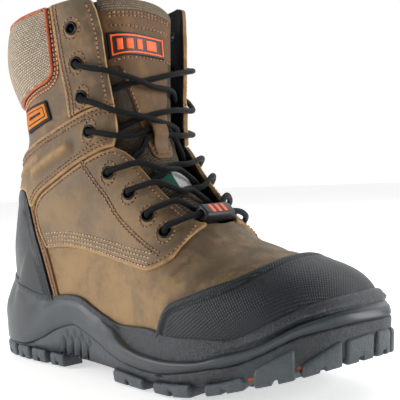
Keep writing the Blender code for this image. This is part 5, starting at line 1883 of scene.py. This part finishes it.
@dataclass
class Seams:
    """Rows of stitches sunk in the leather, each with a dark cap at its end, painted as the shade of its
    needle hole.
    """

    pitch: float = 3.0
    length: float = 2.5
    radius: float = 0.64
    sides: int = 5
    ring_radius: float = 6.3
    ring_pitch: float = 2.8
    hole_long: float = 0.6
    hole_wide: float = 0.52
    hole_rise: float = 0.06
    hole_depth: float = 0.4

    def __post_init__(self) -> None:
        """Starts with no stitches."""
        self.threads: dict[str, list] = {}
        self.pits: list = []

    def row(self, bench: Bench, place: np.ndarray, height: float, finish: str = "thread",
            pitch: float | None = None) -> None:
        """Sews along a line of section numbers and lengths.

        Args:
            bench: Surface and finishes.
            place: Section number and length of points along the row.
            height: Height of the sewn layer over the upper's outside.
            finish: Thread.
            pitch: Length from stitch to stitch.
        """
        surface = bench.last.at(place[:, 0], place[:, 1])
        normals = bench.last.normal(place[:, 0], place[:, 1])
        line = surface + (height + bench.relief.at(surface))[:, None] * normals
        self.sew(line, normals, finish, pitch or self.pitch)

    def sew(self, line: np.ndarray, normals: np.ndarray, finish: str, pitch: float) -> None:
        """Sews along points with their outward directions."""
        both = even_line(np.c_[line, 0.001 * normals], 0.5 * pitch)
        points, out = both[:, :3], unit(both[:, 3:])
        way = unit(np.gradient(points, axis=0))
        for k in range(1, len(points) - 1, 2):
            t, n = way[k], out[k]
            b = np.cross(t, n)
            self.threads.setdefault(finish, []).append((points[k], t, n, b))
            self.pits.append((points[k] + 0.5 * pitch * t, t, n))

    def side_row(self, bench: Bench, line: Sequence[Sequence[float]], inset: float, height: float,
                 finish: str = "thread", keep: tuple[float, float] = (-20.0, 330.0)) -> None:
        """Sews beside a line drawn on the side view.

        Args:
            bench: Surface and finishes.
            line: X and Z of the line.
            inset: Length to its left.
            height: Height of the sewn layer.
            finish: Thread.
            keep: Range of X to sew in.
        """
        flat = offset_line(even_line(smooth_line(line, 8), 1.5), inset)
        flat = flat[(flat[:, 0] > keep[0]) & (flat[:, 0] < keep[1])]
        for side in Side:
            place = bench.last.find(flat, side)
            free = np.abs(place[:, 1]) > throat(place[:, 0], side.value) + 2.5
            self.row(bench, place[free], height, finish)

    def ring(self, bench: Bench, k: int, side: Side) -> None:
        """Sews round an eyelet."""
        u, s = eyelet_at(k, side)
        a = np.linspace(0, 2 * math.pi, 41)
        along = float(np.linalg.norm(bench.last.at(u + 0.1, s) - bench.last.at(u - 0.1, s)) / 0.2)
        place = np.c_[u + self.ring_radius * np.sin(a) / along, s + self.ring_radius * np.cos(a)]
        inside = np.abs(place[:, 1]) > throat(place[:, 0], side.value) + 1.5
        if inside.all():
            self.row(bench, place, surface_height(k), pitch=self.ring_pitch)

    def build(self, bench: Bench) -> None:
        """Sews every row of the upper and hands the stitches over."""
        panel, band = GAP + PANEL, GAP + BAND
        for inset in (2.4, 5.0):
            self.side_row(bench, FACING_REAR, inset, panel)
            self.side_row(bench, BAND_TOP, -inset - 0.2, band, keep=(6.0, 150.0))
            self.side_row(bench, BAND_LOW[:8], -inset - 0.2, band, keep=(62.0, 150.0))
        for inset in (2.2, 4.7, 7.2, 9.7):
            self.side_row(bench, QUARTER_LOW, -inset, panel, finish="thread_tan", keep=(83.0, 190.0))
        self.side_row(bench, QUARTER_TOP, -2.4, panel, keep=(70.0, 150.0))
        self.side_row(bench, QUARTER_REAR, -2.4, panel)
        self.side_row(bench, STRIP_REAR, -2.6, GAP + STRIP)
        for side in Side:
            u = np.linspace(12.75, 20.7, 60)
            self.row(bench, np.c_[u, side.value * (throat(u, side.value) + 4.2)], panel)
            u = np.linspace(7.75, 11.9, 60)
            self.row(bench, np.c_[u, side.value * (throat(u, side.value) + 3.6)], panel)
            diagonal = smooth_line(((13.19, 66.7), (10.92, 56.3), (9.54, 54.0), (7.76, 48.2)), 14)
            for shift in (-1.0, 1.0):
                self.row(bench, np.c_[diagonal[:, 0], side.value * (diagonal[:, 1] + shift)], panel)
            front = even_line(smooth_line(QUARTER_FRONT, 6), 1.5)
            place = bench.last.find(offset_line(front, -3.0), side)
            self.row(bench, place[np.abs(place[:, 1]) > throat(place[:, 0], side.value) + 3], panel)
            for k in range(1, len(EYELETS) + 1):
                self.ring(bench, k, side)
            for inset in (1.9, 4.6):
                edge = offset_line(even_line(smooth_line(PAD_BORDER, 8), 1.5), inset)
                edge = edge[(edge[:, 1] < 234) & (edge[:, 0] > 8)]
                self.row(bench, bench.last.find(edge, side), 0.35, "thread_pale")
        for finish, stitches in self.threads.items():
            self.join_threads(bench, finish, stitches)
        self.join_pits(bench)

    def join_threads(self, bench: Bench, finish: str, stitches: list) -> None:
        """One mesh of all stitches of a thread."""
        a = np.linspace(0, 2 * math.pi, self.sides, endpoint=False)
        profile = ((-1.0, 0.45, -0.34), (-0.55, 1.0, 0.10), (0.55, 1.0, 0.10), (1.0, 0.45, -0.34))
        p, t, n, b = (np.array([stitch[k] for stitch in stitches]) for k in range(4))
        rings = []
        for along, wide, rise in profile:
            centre = p + along * 0.5 * self.length * t + rise * n
            ring = np.cos(a)[None, :, None] * b[:, None] + 0.8 * np.sin(a)[None, :, None] * n[:, None]
            rings.append(centre[:, None] + wide * self.radius * ring)
        verts = np.stack(rings, 1)
        one = np.array(grid_faces(4, self.sides, 0, True))
        size = 4 * self.sides
        faces = (one[None] + size * np.arange(len(p))[:, None, None]).reshape(-1, 4).tolist()
        for k in range(len(p)):
            faces.append([k * size + j for j in range(self.sides)][::-1])
            faces.append([k * size + 3 * self.sides + j for j in range(self.sides)])
        ob = add_mesh("stitches_" + finish, verts.reshape(-1, 3), faces, [bench.finish[finish]])
        outwards(ob)
        hand_over(ob, "leather")

    def join_pits(self, bench: Bench) -> None:
        """One mesh of all needle holes, dark caps painted as the shade inside them."""
        a = np.linspace(0, 2 * math.pi, 6, endpoint=False)
        p, t, n = (np.array([pit[k] for pit in self.pits]) for k in range(3))
        ring = self.hole_long * np.cos(a)[None, :, None] * t[:, None]
        ring = ring + self.hole_wide * np.sin(a)[None, :, None] * np.cross(n, t)[:, None]
        tip = p - self.hole_depth * n
        verts = np.concatenate([p[:, None] + self.hole_rise * n[:, None] + ring, tip[:, None]], axis=1)
        one = [[0, 1, 2, 3, 4, 5]] + [[6, (k + 1) % 6, k] for k in range(6)]
        faces = [[7 * k + corner for corner in face] for k in range(len(p)) for face in one]
        ob = add_mesh("needle_holes", verts.reshape(-1, 3), faces, [bench.finish["pit"]])
        hand_over(ob, "leather")


@dataclass
class EyeletSet:
    """Flanged eyelets, spun from their profile."""

    steps: int = 28

    def profile(self, drop: float) -> list[tuple[float, float]]:
        """Radius and height of the section, from the foot of the bore round to it."""
        wide = FLANGE_RADIUS - 0.4
        return [(BORE_RADIUS, -drop), (BARREL_RADIUS, -drop), (BARREL_RADIUS, 0.0), (wide, 0.0),
                (wide + 0.08, 0.3), (wide - 0.15, 0.68), (wide - 0.5, FLANGE_THICK), (wide - 0.9, 0.88),
                (BORE_RADIUS + 0.3, 0.55), (BORE_RADIUS, 0.1), (BORE_RADIUS, -drop)]

    def spun(self, drop: float) -> Mesh:
        """The eyelet round the Z axis."""
        mesh = bpy.data.meshes.new("eyelet")
        line = [(r * MM, 0.0, z * MM) for r, z in self.profile(drop)]
        mesh.from_pydata(line, [(k, k + 1) for k in range(len(line) - 1)], [])
        ob = bpy.data.objects.new("eyelet", mesh)
        bpy.context.scene.collection.objects.link(ob)
        with editing(ob):
            bpy.ops.mesh.spin(steps=self.steps, angle=2 * math.pi, center=(0, 0, 0), axis=(0, 0, 1))
            bpy.ops.mesh.select_all(action="SELECT")
            bpy.ops.mesh.remove_doubles(threshold=0.01 * MM)
            bpy.ops.mesh.normals_make_consistent(inside=False)
        bpy.ops.object.shade_smooth_by_angle(angle=math.radians(50))
        bpy.data.objects.remove(ob)
        return mesh

    def build(self, bench: Bench) -> None:
        """Sets and hands over all sixteen."""
        for side in Side:
            for k in range(1, len(EYELETS) + 1):
                u, s = eyelet_at(k, side)
                base = surface_height(k) + GAP + 0.1
                mesh = self.spun(base + WALL + 0.4)
                axis = bench.last.normal(u, s)
                across = unit(np.cross([0.0, 0.0, 1.0], axis))
                spot = bench.last.at(u, s)
                centre = (spot + (base + bench.relief.at(spot)) * axis - ORIGIN) * MM
                mesh.transform(placed(centre.tolist(), across, np.cross(axis, across), axis))
                mesh.materials.append(bench.finish["metal"])
                name = "%s_%d" % (side.name.lower(), k)
                ob = bpy.data.objects.new("ring_" + name, mesh)
                bpy.context.scene.collection.objects.link(ob)
                hand_over(ob, "metal", "eyelet_" + name)


@dataclass
class LaceSet:
    """Round braided lace, crossed under the far flap from row to row."""

    sides: int = 14
    pitch: float = 0.9
    sleeve_half: tuple[float, float] = (5.4, 4.0)
    sleeve_square: float = 0.55
    sleeve_bore: float = 2.6
    sleeve_shift: float = -1.5

    # Places along the sleeve from its middle, and the size of its section there
    SLEEVE = ((-12.0, 0.86), (-11.5, 0.96), (-10.5, 1.0), (-6.25, 1.0), (-3.75, 1.0), (-1.25, 1.0),
              (1.25, 1.0), (3.75, 1.0), (6.25, 1.0), (10.5, 1.0), (11.5, 0.96), (12.0, 0.86))
    BAR_SECTIONS = (7.82, 7.7, 7.62)

    def strand(self, bench: Bench, k: int, side: Side, edge_out: float, edge_in: float,
               middle: list) -> np.ndarray:
        """Path of one strand from inside an eyelet, over the throat, to inside the other flap.

        Args:
            bench: Surface and finishes.
            k: Number of the eyelet.
            side: Side of the eyelet.
            edge_out: Section number where it passes its own flap's edge.
            edge_in: Section number where it passes under the other flap's edge.
            middle: Section number, length and height of places over the tongue.

        Returns:
            Points of its centre.
        """
        lift = bench.last.lift
        sign, far = side.value, -side.value
        start = surface_height(k) + GAP + FLANGE_THICK + LACE_RADIUS + 0.3
        u, s = EYELETS[k - 1, 0], EYELETS[k - 1, 1 if sign < 0 else 2]
        end_u, end_s = EYELETS[k, 0], EYELETS[k, 2 if sign < 0 else 1]
        edge = throat(edge_out, sign) - 1.0
        way_in = throat(edge_in, far) + 1.0
        first, last = middle[0], middle[-1]
        rest = 0.5 * (BAND + LACE_RADIUS + 1.0 + first[2]) - 1.4
        points = [lift(u, sign * s, -6.5), lift(u, sign * s, -2.0), lift(u, sign * (s - 0.1), 2.4),
                  lift(u + 0.12 * (edge_out - u), sign * (s - 2.4), start),
                  lift(0.5 * (u + edge_out), sign * 0.5 * (s + edge), start + 0.1),
                  lift(edge_out, sign * edge, BAND + LACE_RADIUS + 0.8),
                  lift(0.5 * (edge_out + first[0]) - 0.28, sign * 0.5 * (edge + first[1]), rest)]
        points += [lift(m, sign * t, h) for m, t, h in middle]
        dive = 0.35 * last[2] + 0.65 * LACE_UNDER
        points += [lift(0.5 * (edge_in + last[0]) - 0.2, far * 0.5 * (way_in - last[1]), dive),
                   lift(edge_in, far * way_in, LACE_UNDER), lift(end_u, far * (end_s - 6.0), LACE_UNDER),
                   lift(end_u, far * (end_s - 1.5), LACE_UNDER - 0.3)]
        return even_line(smooth_line(points, 12), self.pitch)

    def build(self, bench: Bench) -> None:
        """Makes and hands over every crossing, the lowest bar and its tag."""
        for k, edge_out, middle, edge_in in LACES:
            falls = (LACE_FALL[k], 0.0)
            ways = [[(middle - fall, 0.0, height)] for fall, height in zip(falls, (LACE_OVER, LACE_UNDER))]
            if k == KEEPER_CROSSING:
                ways = [[(middle + shift, at, LACE_UNDER) for at in (9.0, -9.0)] for shift in (0.17, -0.17)]
            paths = [self.strand(bench, k, side, edge_out - 0.42 * fall, edge_in - 1.1 * fall, way)
                     for side, way, fall in zip(Side, ways, falls)]
            self.cords(bench, "lace_%d" % k, paths, "lace_cross_%d" % k)
        lift = bench.last.lift
        start = surface_height(len(EYELETS)) + GAP + FLANGE_THICK + LACE_RADIUS + 0.4
        flap, brink, ridge = self.BAR_SECTIONS
        halves = []
        for side in Side:
            u, s = EYELETS[-1, 0], EYELETS[-1, 1 if side is Side.LATERAL else 2]
            edge = throat(brink, side.value) + 2.0
            sign = side.value
            halves.append([lift(u, sign * s, -6.0), lift(u, sign * s, -1.5), lift(u, sign * (s - 0.1), 2.4),
                           lift(u - 0.03, sign * (s - 2.6), start),
                           lift(flap, sign * 0.5 * (s + edge), start + 0.3),
                           lift(brink, sign * edge, start - 0.4), lift(ridge, sign * 9.0, 3.2)])
        path = even_line(smooth_line(halves[0] + halves[1][::-1], 12), self.pitch)
        self.cords(bench, "lace_bar", [path], "lace_bar_8")
        self.tag(bench, np.array(halves[0][-1]), np.array(halves[1][-1]))

    def cords(self, bench: Bench, name: str, paths: Sequence[np.ndarray], node: str) -> None:
        """Tubes along paths as one piece."""
        verts, faces, flat = tubes(paths, [CORD_RADIUS] * len(paths), self.sides)
        ob = add_mesh(name, verts, faces, [bench.finish["lace"]], flat)
        outwards(ob)
        hand_over(ob, "lace", node)

    def tag(self, bench: Bench, a: np.ndarray, b: np.ndarray) -> None:
        """Sleeve on the lowest bar, black with three plain orange marks."""
        way = unit(b - a)
        up = bench.last.normal(self.BAR_SECTIONS[-1], 0.0)
        up = unit(up - way * (up @ way))
        side = np.cross(way, up)
        count = 32
        angle = np.linspace(0, 2 * math.pi, count + 1)[:-1]
        wide = np.sign(np.cos(angle)) * np.abs(np.cos(angle)) ** self.sleeve_square * self.sleeve_half[0]
        tall = np.sign(np.sin(angle)) * np.abs(np.sin(angle)) ** self.sleeve_square * self.sleeve_half[1]
        rings = []
        for at, scale in self.SLEEVE:
            centre = 0.5 * (a + b) + way * (at + self.sleeve_shift)
            rings.append(centre + scale * (wide[:, None] * side + tall[:, None] * up))
        for at, _ in (self.SLEEVE[-1], self.SLEEVE[0]):
            centre = 0.5 * (a + b) + way * (at + self.sleeve_shift)
            bore = np.cos(angle)[:, None] * side + np.sin(angle)[:, None] * up
            rings.append(centre + self.sleeve_bore * bore)
        rings.append(rings[0])
        faces = loft_faces(len(rings), count, False)
        parts = [int(k // count in (3, 5, 7) and 6 <= k % count <= 9) for k in range(len(faces))]
        finishes = [bench.finish["patch"], bench.finish["signal"]]
        ob = add_mesh("lace_sleeve", np.concatenate(rings), faces, finishes, parts=parts, sharp=45)
        weld(ob)
        outwards(ob)
        hand_over(ob, "patch", "lace_tag")


@dataclass
class Tongue:
    """Padded tongue with its leather, patch, keeper and label."""

    rows: int = 120
    columns: int = 44
    badge_tilt: float = 0.0105
    badge_rise: float = 2.9

    # Frame and bars of the badge: sections and lengths between which each one lies
    BADGE = ((17.16, 17.27, -29.5, 16.0), (18.40, 18.51, -29.5, 16.0), (17.16, 18.51, -29.5, -28.1),
             (17.16, 18.51, 14.6, 16.0), (17.46, 18.22, -24.5, -19.5), (17.46, 18.22, -16.5, -10.5),
             (17.46, 18.22, -7.5, -2.5), (17.46, 18.22, 1.0, 9.5))
    # Half widths of the tongue's leather: section, outer side, inner side
    LEATHER = np.array([(10.6, 4, 4), (10.68, 8, 8), (10.85, 10.5, 10.5), (11.2, 11.5, 12), (12.0, 12, 15),
                        (13.5, 15, 19), (15.0, 20, 22), (16.6, 24.5, 25), (17.0, 36, 31), (20.6, 39, 36)])

    @staticmethod
    def face(u: np.ndarray) -> np.ndarray:
        """Height of the tongue's face under the upper's outside."""
        return -np.interp(u, (7.0, 7.5, 7.85, 22.0), (4.4, 7.2, TONGUE_DEPTH, TONGUE_DEPTH))

    @staticmethod
    def droop(u: np.ndarray, s: np.ndarray) -> np.ndarray:
        """Section numbers by which the top of the tongue falls towards the inner side."""
        return 1.0 * np.clip((s + 6.0) / 42.0, 0, 1) ** 2 * np.clip((u - 18.7) / 2.0, 0, 1)

    def slab(self, bench: Bench, name: str, us: np.ndarray, lateral: object, medial: object, rise: object,
             thick: float, finish: str, power: float = 8.0, columns: int | None = None, tilt: float = 0.0,
             second: tuple[str, float] | None = None) -> Object:
        """A soft-edged sheet over the tongue's face.

        Args:
            bench: Surface and finishes.
            name: Name of the piece.
            us: Section number of each row.
            lateral: Half width on the outer side, one for all rows or one for each.
            medial: Half width on the inner side, alike.
            rise: Height of the sheet's upper face over the tongue's face, alike.
            thick: Its thickness.
            finish: Material.
            power: How square its edges are.
            columns: Points across.
            tilt: Section numbers that each row falls per millimetre across.
            second: Material of the part on the outer side of a length across.

        Returns:
            The object.
        """
        count = columns or self.columns
        t = np.sin(np.linspace(-0.5, 0.5, count) * math.pi)
        body = np.maximum(1 - np.abs(t) ** power, 0) ** 0.5
        final = len(us) - 1
        ends = np.interp(np.arange(len(us)), (0, 1, 2, final - 2, final - 1, final),
                         (0.25, 0.8, 1, 1, 0.8, 0.25))
        rings, flat = [], []
        spread = (np.broadcast_to(value, us.shape) for value in (lateral, medial, rise))
        for u, low, high, up, end in zip(us, *spread, ends):
            s = np.where(t < 0, t * low, t * high)
            half = 0.5 * thick * body * end
            mid = self.face(u) + up - 0.5 * thick
            at = u - tilt * s - self.droop(u, s)
            ring = np.r_[bench.last.lift(at, s, mid + half), bench.last.lift(at, s, mid - half)[::-1][1:-1]]
            rings.append(ring)
            flat.append(np.c_[np.r_[s, s[::-1][1:-1]], np.full(len(ring), 12.0 * u)] / 100)
        size = len(rings[0])
        faces, flat = loft_faces(len(rings), size), np.concatenate(flat)
        finishes = [bench.finish[key] for key in ((finish,) if second is None else (finish, second[0]))]
        parts = None if second is None else [int(flat[f, 0].mean() * 100 < second[1]) for f in faces]
        ob = add_mesh(name, np.concatenate(rings), faces, finishes, flat, parts=parts)
        outwards(ob)
        return ob

    def build(self, bench: Bench) -> None:
        """Makes and hands over the tongue and what is sewn to it."""
        u = np.r_[7.0, 7.03, 7.08, np.linspace(7.2, 20.7, self.rows), 20.78, 20.83]
        tuck = TONGUE_TUCK * np.minimum(1.0, 0.5 + (u - 7.0) / 3)
        wide = tuck + 21.0 * soft_step(u, 17.6, 19.2)
        body = self.slab(bench, "tongue_body", u, throat(u, -1) + wide, throat(u, 1) + tuck, 0.0,
                         TONGUE_THICK, "gusset")
        hand_over(body, "leather", "tongue")
        u = np.r_[10.6, 10.62, 10.66, np.linspace(10.7, 20.3, 110), 20.34, 20.37]
        outer, inner = (np.interp(u, self.LEATHER[:, 0], self.LEATHER[:, k]) for k in (1, 2))
        hand_over(self.slab(bench, "tongue_leather", u, outer, inner, 1.3, 2.0, "tongue", 30.0), "leather")
        u = np.r_[20.22, 20.25, 20.3, np.linspace(20.36, 20.82, 12), 20.87, 20.91, 20.93]
        hand_over(self.slab(bench, "tongue_roll", u, 38.0, 36.0, 2.0, 4.6, "tongue_mesh", 10.0), "mesh")
        u = np.r_[17.0, 17.02, 17.05, np.linspace(17.08, 18.58, 30), 18.61, 18.64, 18.66]
        badge = self.slab(bench, "tongue_badge", u, 32.5, 18.0, self.badge_rise, 1.8, "patch", 40.0,
                          tilt=self.badge_tilt)
        hand_over(badge, "patch", "tongue_patch")
        self.badge(bench)
        u = np.linspace(10.8, 12.75, 60)
        rise = np.interp(u, (10.8, 11.1, 11.36, 11.62, 12.18, 12.38, 12.56, 12.75),
                         (0.5, 0.5, 2.4, 5.6, 5.6, 2.4, 0.5, 0.5))
        rise = np.convolve(np.pad(rise, 3, mode="edge"), np.ones(7) / 7, "valid")
        keeper = self.slab(bench, "lace_keeper", u, 7.0, 5.5, rise + 1.8, 1.8, "tongue", 20.0, 20)
        hand_over(keeper, "leather", "tongue_keeper")
        u = np.linspace(9.25, 10.15, 30)
        label = self.slab(bench, "tongue_label", u, 17.0, 17.0, 0.9, 0.8, "label_white", 40.0, 60, 0.016,
                          ("label_green", -1.0))
        hand_over(label, "patch")

    def badge(self, bench: Bench) -> None:
        """Raised orange frame and plain bars on the badge."""
        pieces = []
        for low, high, left, right in self.BADGE:
            edge = 0.06 if high - low < 0.3 else 0.02
            u = np.r_[low, low + 0.2 * edge, low + 0.5 * edge, np.linspace(low + edge, high - edge, 8),
                      high - 0.5 * edge, high - 0.2 * edge, high]
            pieces.append(self.bar(bench, u, left, right))
        frame = join(pieces)
        frame.name = "tongue_badge_frame"
        hand_over(frame, "patch")

    def bar(self, bench: Bench, us: np.ndarray, left: float, right: float) -> Object:
        """One raised bar between two lengths across the tongue."""
        s = np.r_[np.linspace(left, right, 8), np.linspace(right, left, 8)]
        rise = np.r_[0.35, np.full(6, 0.75), 0.35, np.full(8, -0.2)] + self.badge_rise
        rings = [bench.last.lift(u - self.badge_tilt * s, s, self.face(u) + rise) for u in us]
        faces = loft_faces(len(rings), len(s))
        ob = add_mesh("badge_bar", np.concatenate(rings), faces, [bench.finish["signal"]], sharp=40)
        outwards(ob)
        return ob

    def sew(self, bench: Bench, seams: Seams) -> None:
        """Stitch rows along the tongue's leather."""
        def row(us: np.ndarray, ss: np.ndarray) -> None:
            us = us - self.droop(us, ss)
            line = bench.last.lift(us, ss, self.face(us) + 1.35)
            seams.sew(line, bench.last.normal(us, ss), "thread", 3.0)

        us = np.linspace(13.0, 16.4, 40)
        row(us, 2.2 - np.interp(us, (13.0, 13.5, 15.0, 16.4), (14, 15, 20, 24)))
        for inset in (2.0, 4.2):
            turn = np.linspace(-0.45, 0.45, 30) * math.pi
            row(11.3 - (0.62 - 0.07 * inset) * np.cos(turn), (12.0 - inset) * np.sin(turn))
        for at in (16.88, 19.15, 19.9, 20.1):
            ss = np.linspace(-30, 28, 60)
            row(at + (0 * ss if at > 19.5 else -0.008 * ss), ss)


@dataclass
class Studio:
    """Pale floor, soft light and the camera of the photo."""

    camera_at: tuple[float, float, float] = (0.4302, -0.3887, 0.1250)
    azimuth: float = 45.48
    elevation: float = 1.88
    roll: float = -2.87
    lens: float = 81.45

    def build(self) -> None:
        """Sets the stage."""
        bpy.ops.mesh.primitive_plane_add(size=8.0, location=(0, 0, -0.0012))
        floor = bpy.context.object
        floor.name = "floor"
        material, kit, shader = new_material("pale_floor")
        place = kit.place()
        tone = kit.mix(kit.noise(place, 3.0), (0.86, 0.86, 0.86, 1), (0.92, 0.92, 0.92, 1))
        kit.feed(shader.inputs["Base Color"], tone)
        shader.inputs["Roughness"].default_value = 0.9
        shader.inputs["Emission Color"].default_value = (1.0, 1.0, 1.0, 1.0)
        shader.inputs["Emission Strength"].default_value = 0.55
        floor.data.materials.append(material)
        self.light("left", (-0.92, -1.22, 0.58), 1.1, 20.0)
        self.light("right", (1.30, 0.70, 0.26), 1.0, 25.0)
        self.light("top", (0.1, -0.2, 1.9), 0.9, 1.5)
        self.light("inner", (0.2, 1.4, 1.2), 1.4, 8.0)
        self.surroundings()
        self.camera()

    def surroundings(self) -> None:
        """White wall behind the boot, dimmer room in front of it."""
        world = bpy.data.worlds.new("studio")
        world.use_nodes = True
        kit = NodeKit(world.node_tree)
        a = math.radians(self.azimuth)
        toward = (-math.sin(a), math.cos(a), 0.0)
        way = kit.add("ShaderNodeTexCoord").outputs["Generated"]
        facing = kit.add("ShaderNodeVectorMath", {0: way, 1: toward},
                         operation="DOT_PRODUCT").outputs["Value"]
        sky = world.node_tree.nodes["Background"]
        sky.inputs["Color"].default_value = (1.0, 1.0, 1.0, 1.0)
        kit.feed(sky.inputs["Strength"], kit.range(facing, -0.1, 0.75, 0.10, 1.02))
        bpy.context.scene.world = world
        bpy.context.scene.view_settings.view_transform = "Standard"

    @staticmethod
    def light(name: str, at: tuple[float, float, float], size: float, power: float) -> None:
        """One soft area light aimed at the boot."""
        bpy.ops.object.light_add(type="AREA", location=at)
        lamp = bpy.context.object
        lamp.name = name
        lamp.data.size = size
        lamp.data.energy = power
        way = unit(np.array(at) - np.array((0.0, 0.0, 0.1)))
        side = unit(np.cross([0.0, 0.0, 1.0], way))
        lamp.matrix_world = placed(at, side, np.cross(way, side), way)

    def camera(self) -> None:
        """The camera at the photo's angle."""
        a, e, r = (math.radians(v) for v in (self.azimuth, self.elevation, self.roll))
        right = np.array([math.cos(a), math.sin(a), 0.0])
        back = np.array([math.sin(a) * math.cos(e), -math.cos(a) * math.cos(e), math.sin(e)])
        up = np.cross(back, right)
        across = math.cos(r) * right + math.sin(r) * up
        above = -math.sin(r) * right + math.cos(r) * up
        data = bpy.data.cameras.new("photo_camera")
        data.lens = self.lens
        data.sensor_width = 36.0
        data.clip_start = 0.01
        ob = bpy.data.objects.new("photo_camera", data)
        bpy.context.scene.collection.objects.link(ob)
        ob.matrix_world = placed(self.camera_at, across, above, back)
        bpy.context.scene.camera = ob


def main() -> None:
    """Dresses the boot and sets the stage."""
    logging.basicConfig(level=logging.INFO, format="%(name)s %(message)s")
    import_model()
    last = Last()
    bench = Bench(last, Relief(last), Finishes())
    tongue, seams = Tongue(), Seams()
    tongue.sew(bench, seams)
    for part in (SoleUnit(), UpperShell(), tongue, EyeletSet(), LaceSet(), seams):
        part.build(bench)
        LOG.info("built %s", type(part).__name__)
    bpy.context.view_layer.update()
    Studio().build()


if __name__ == "__main__":
    main()
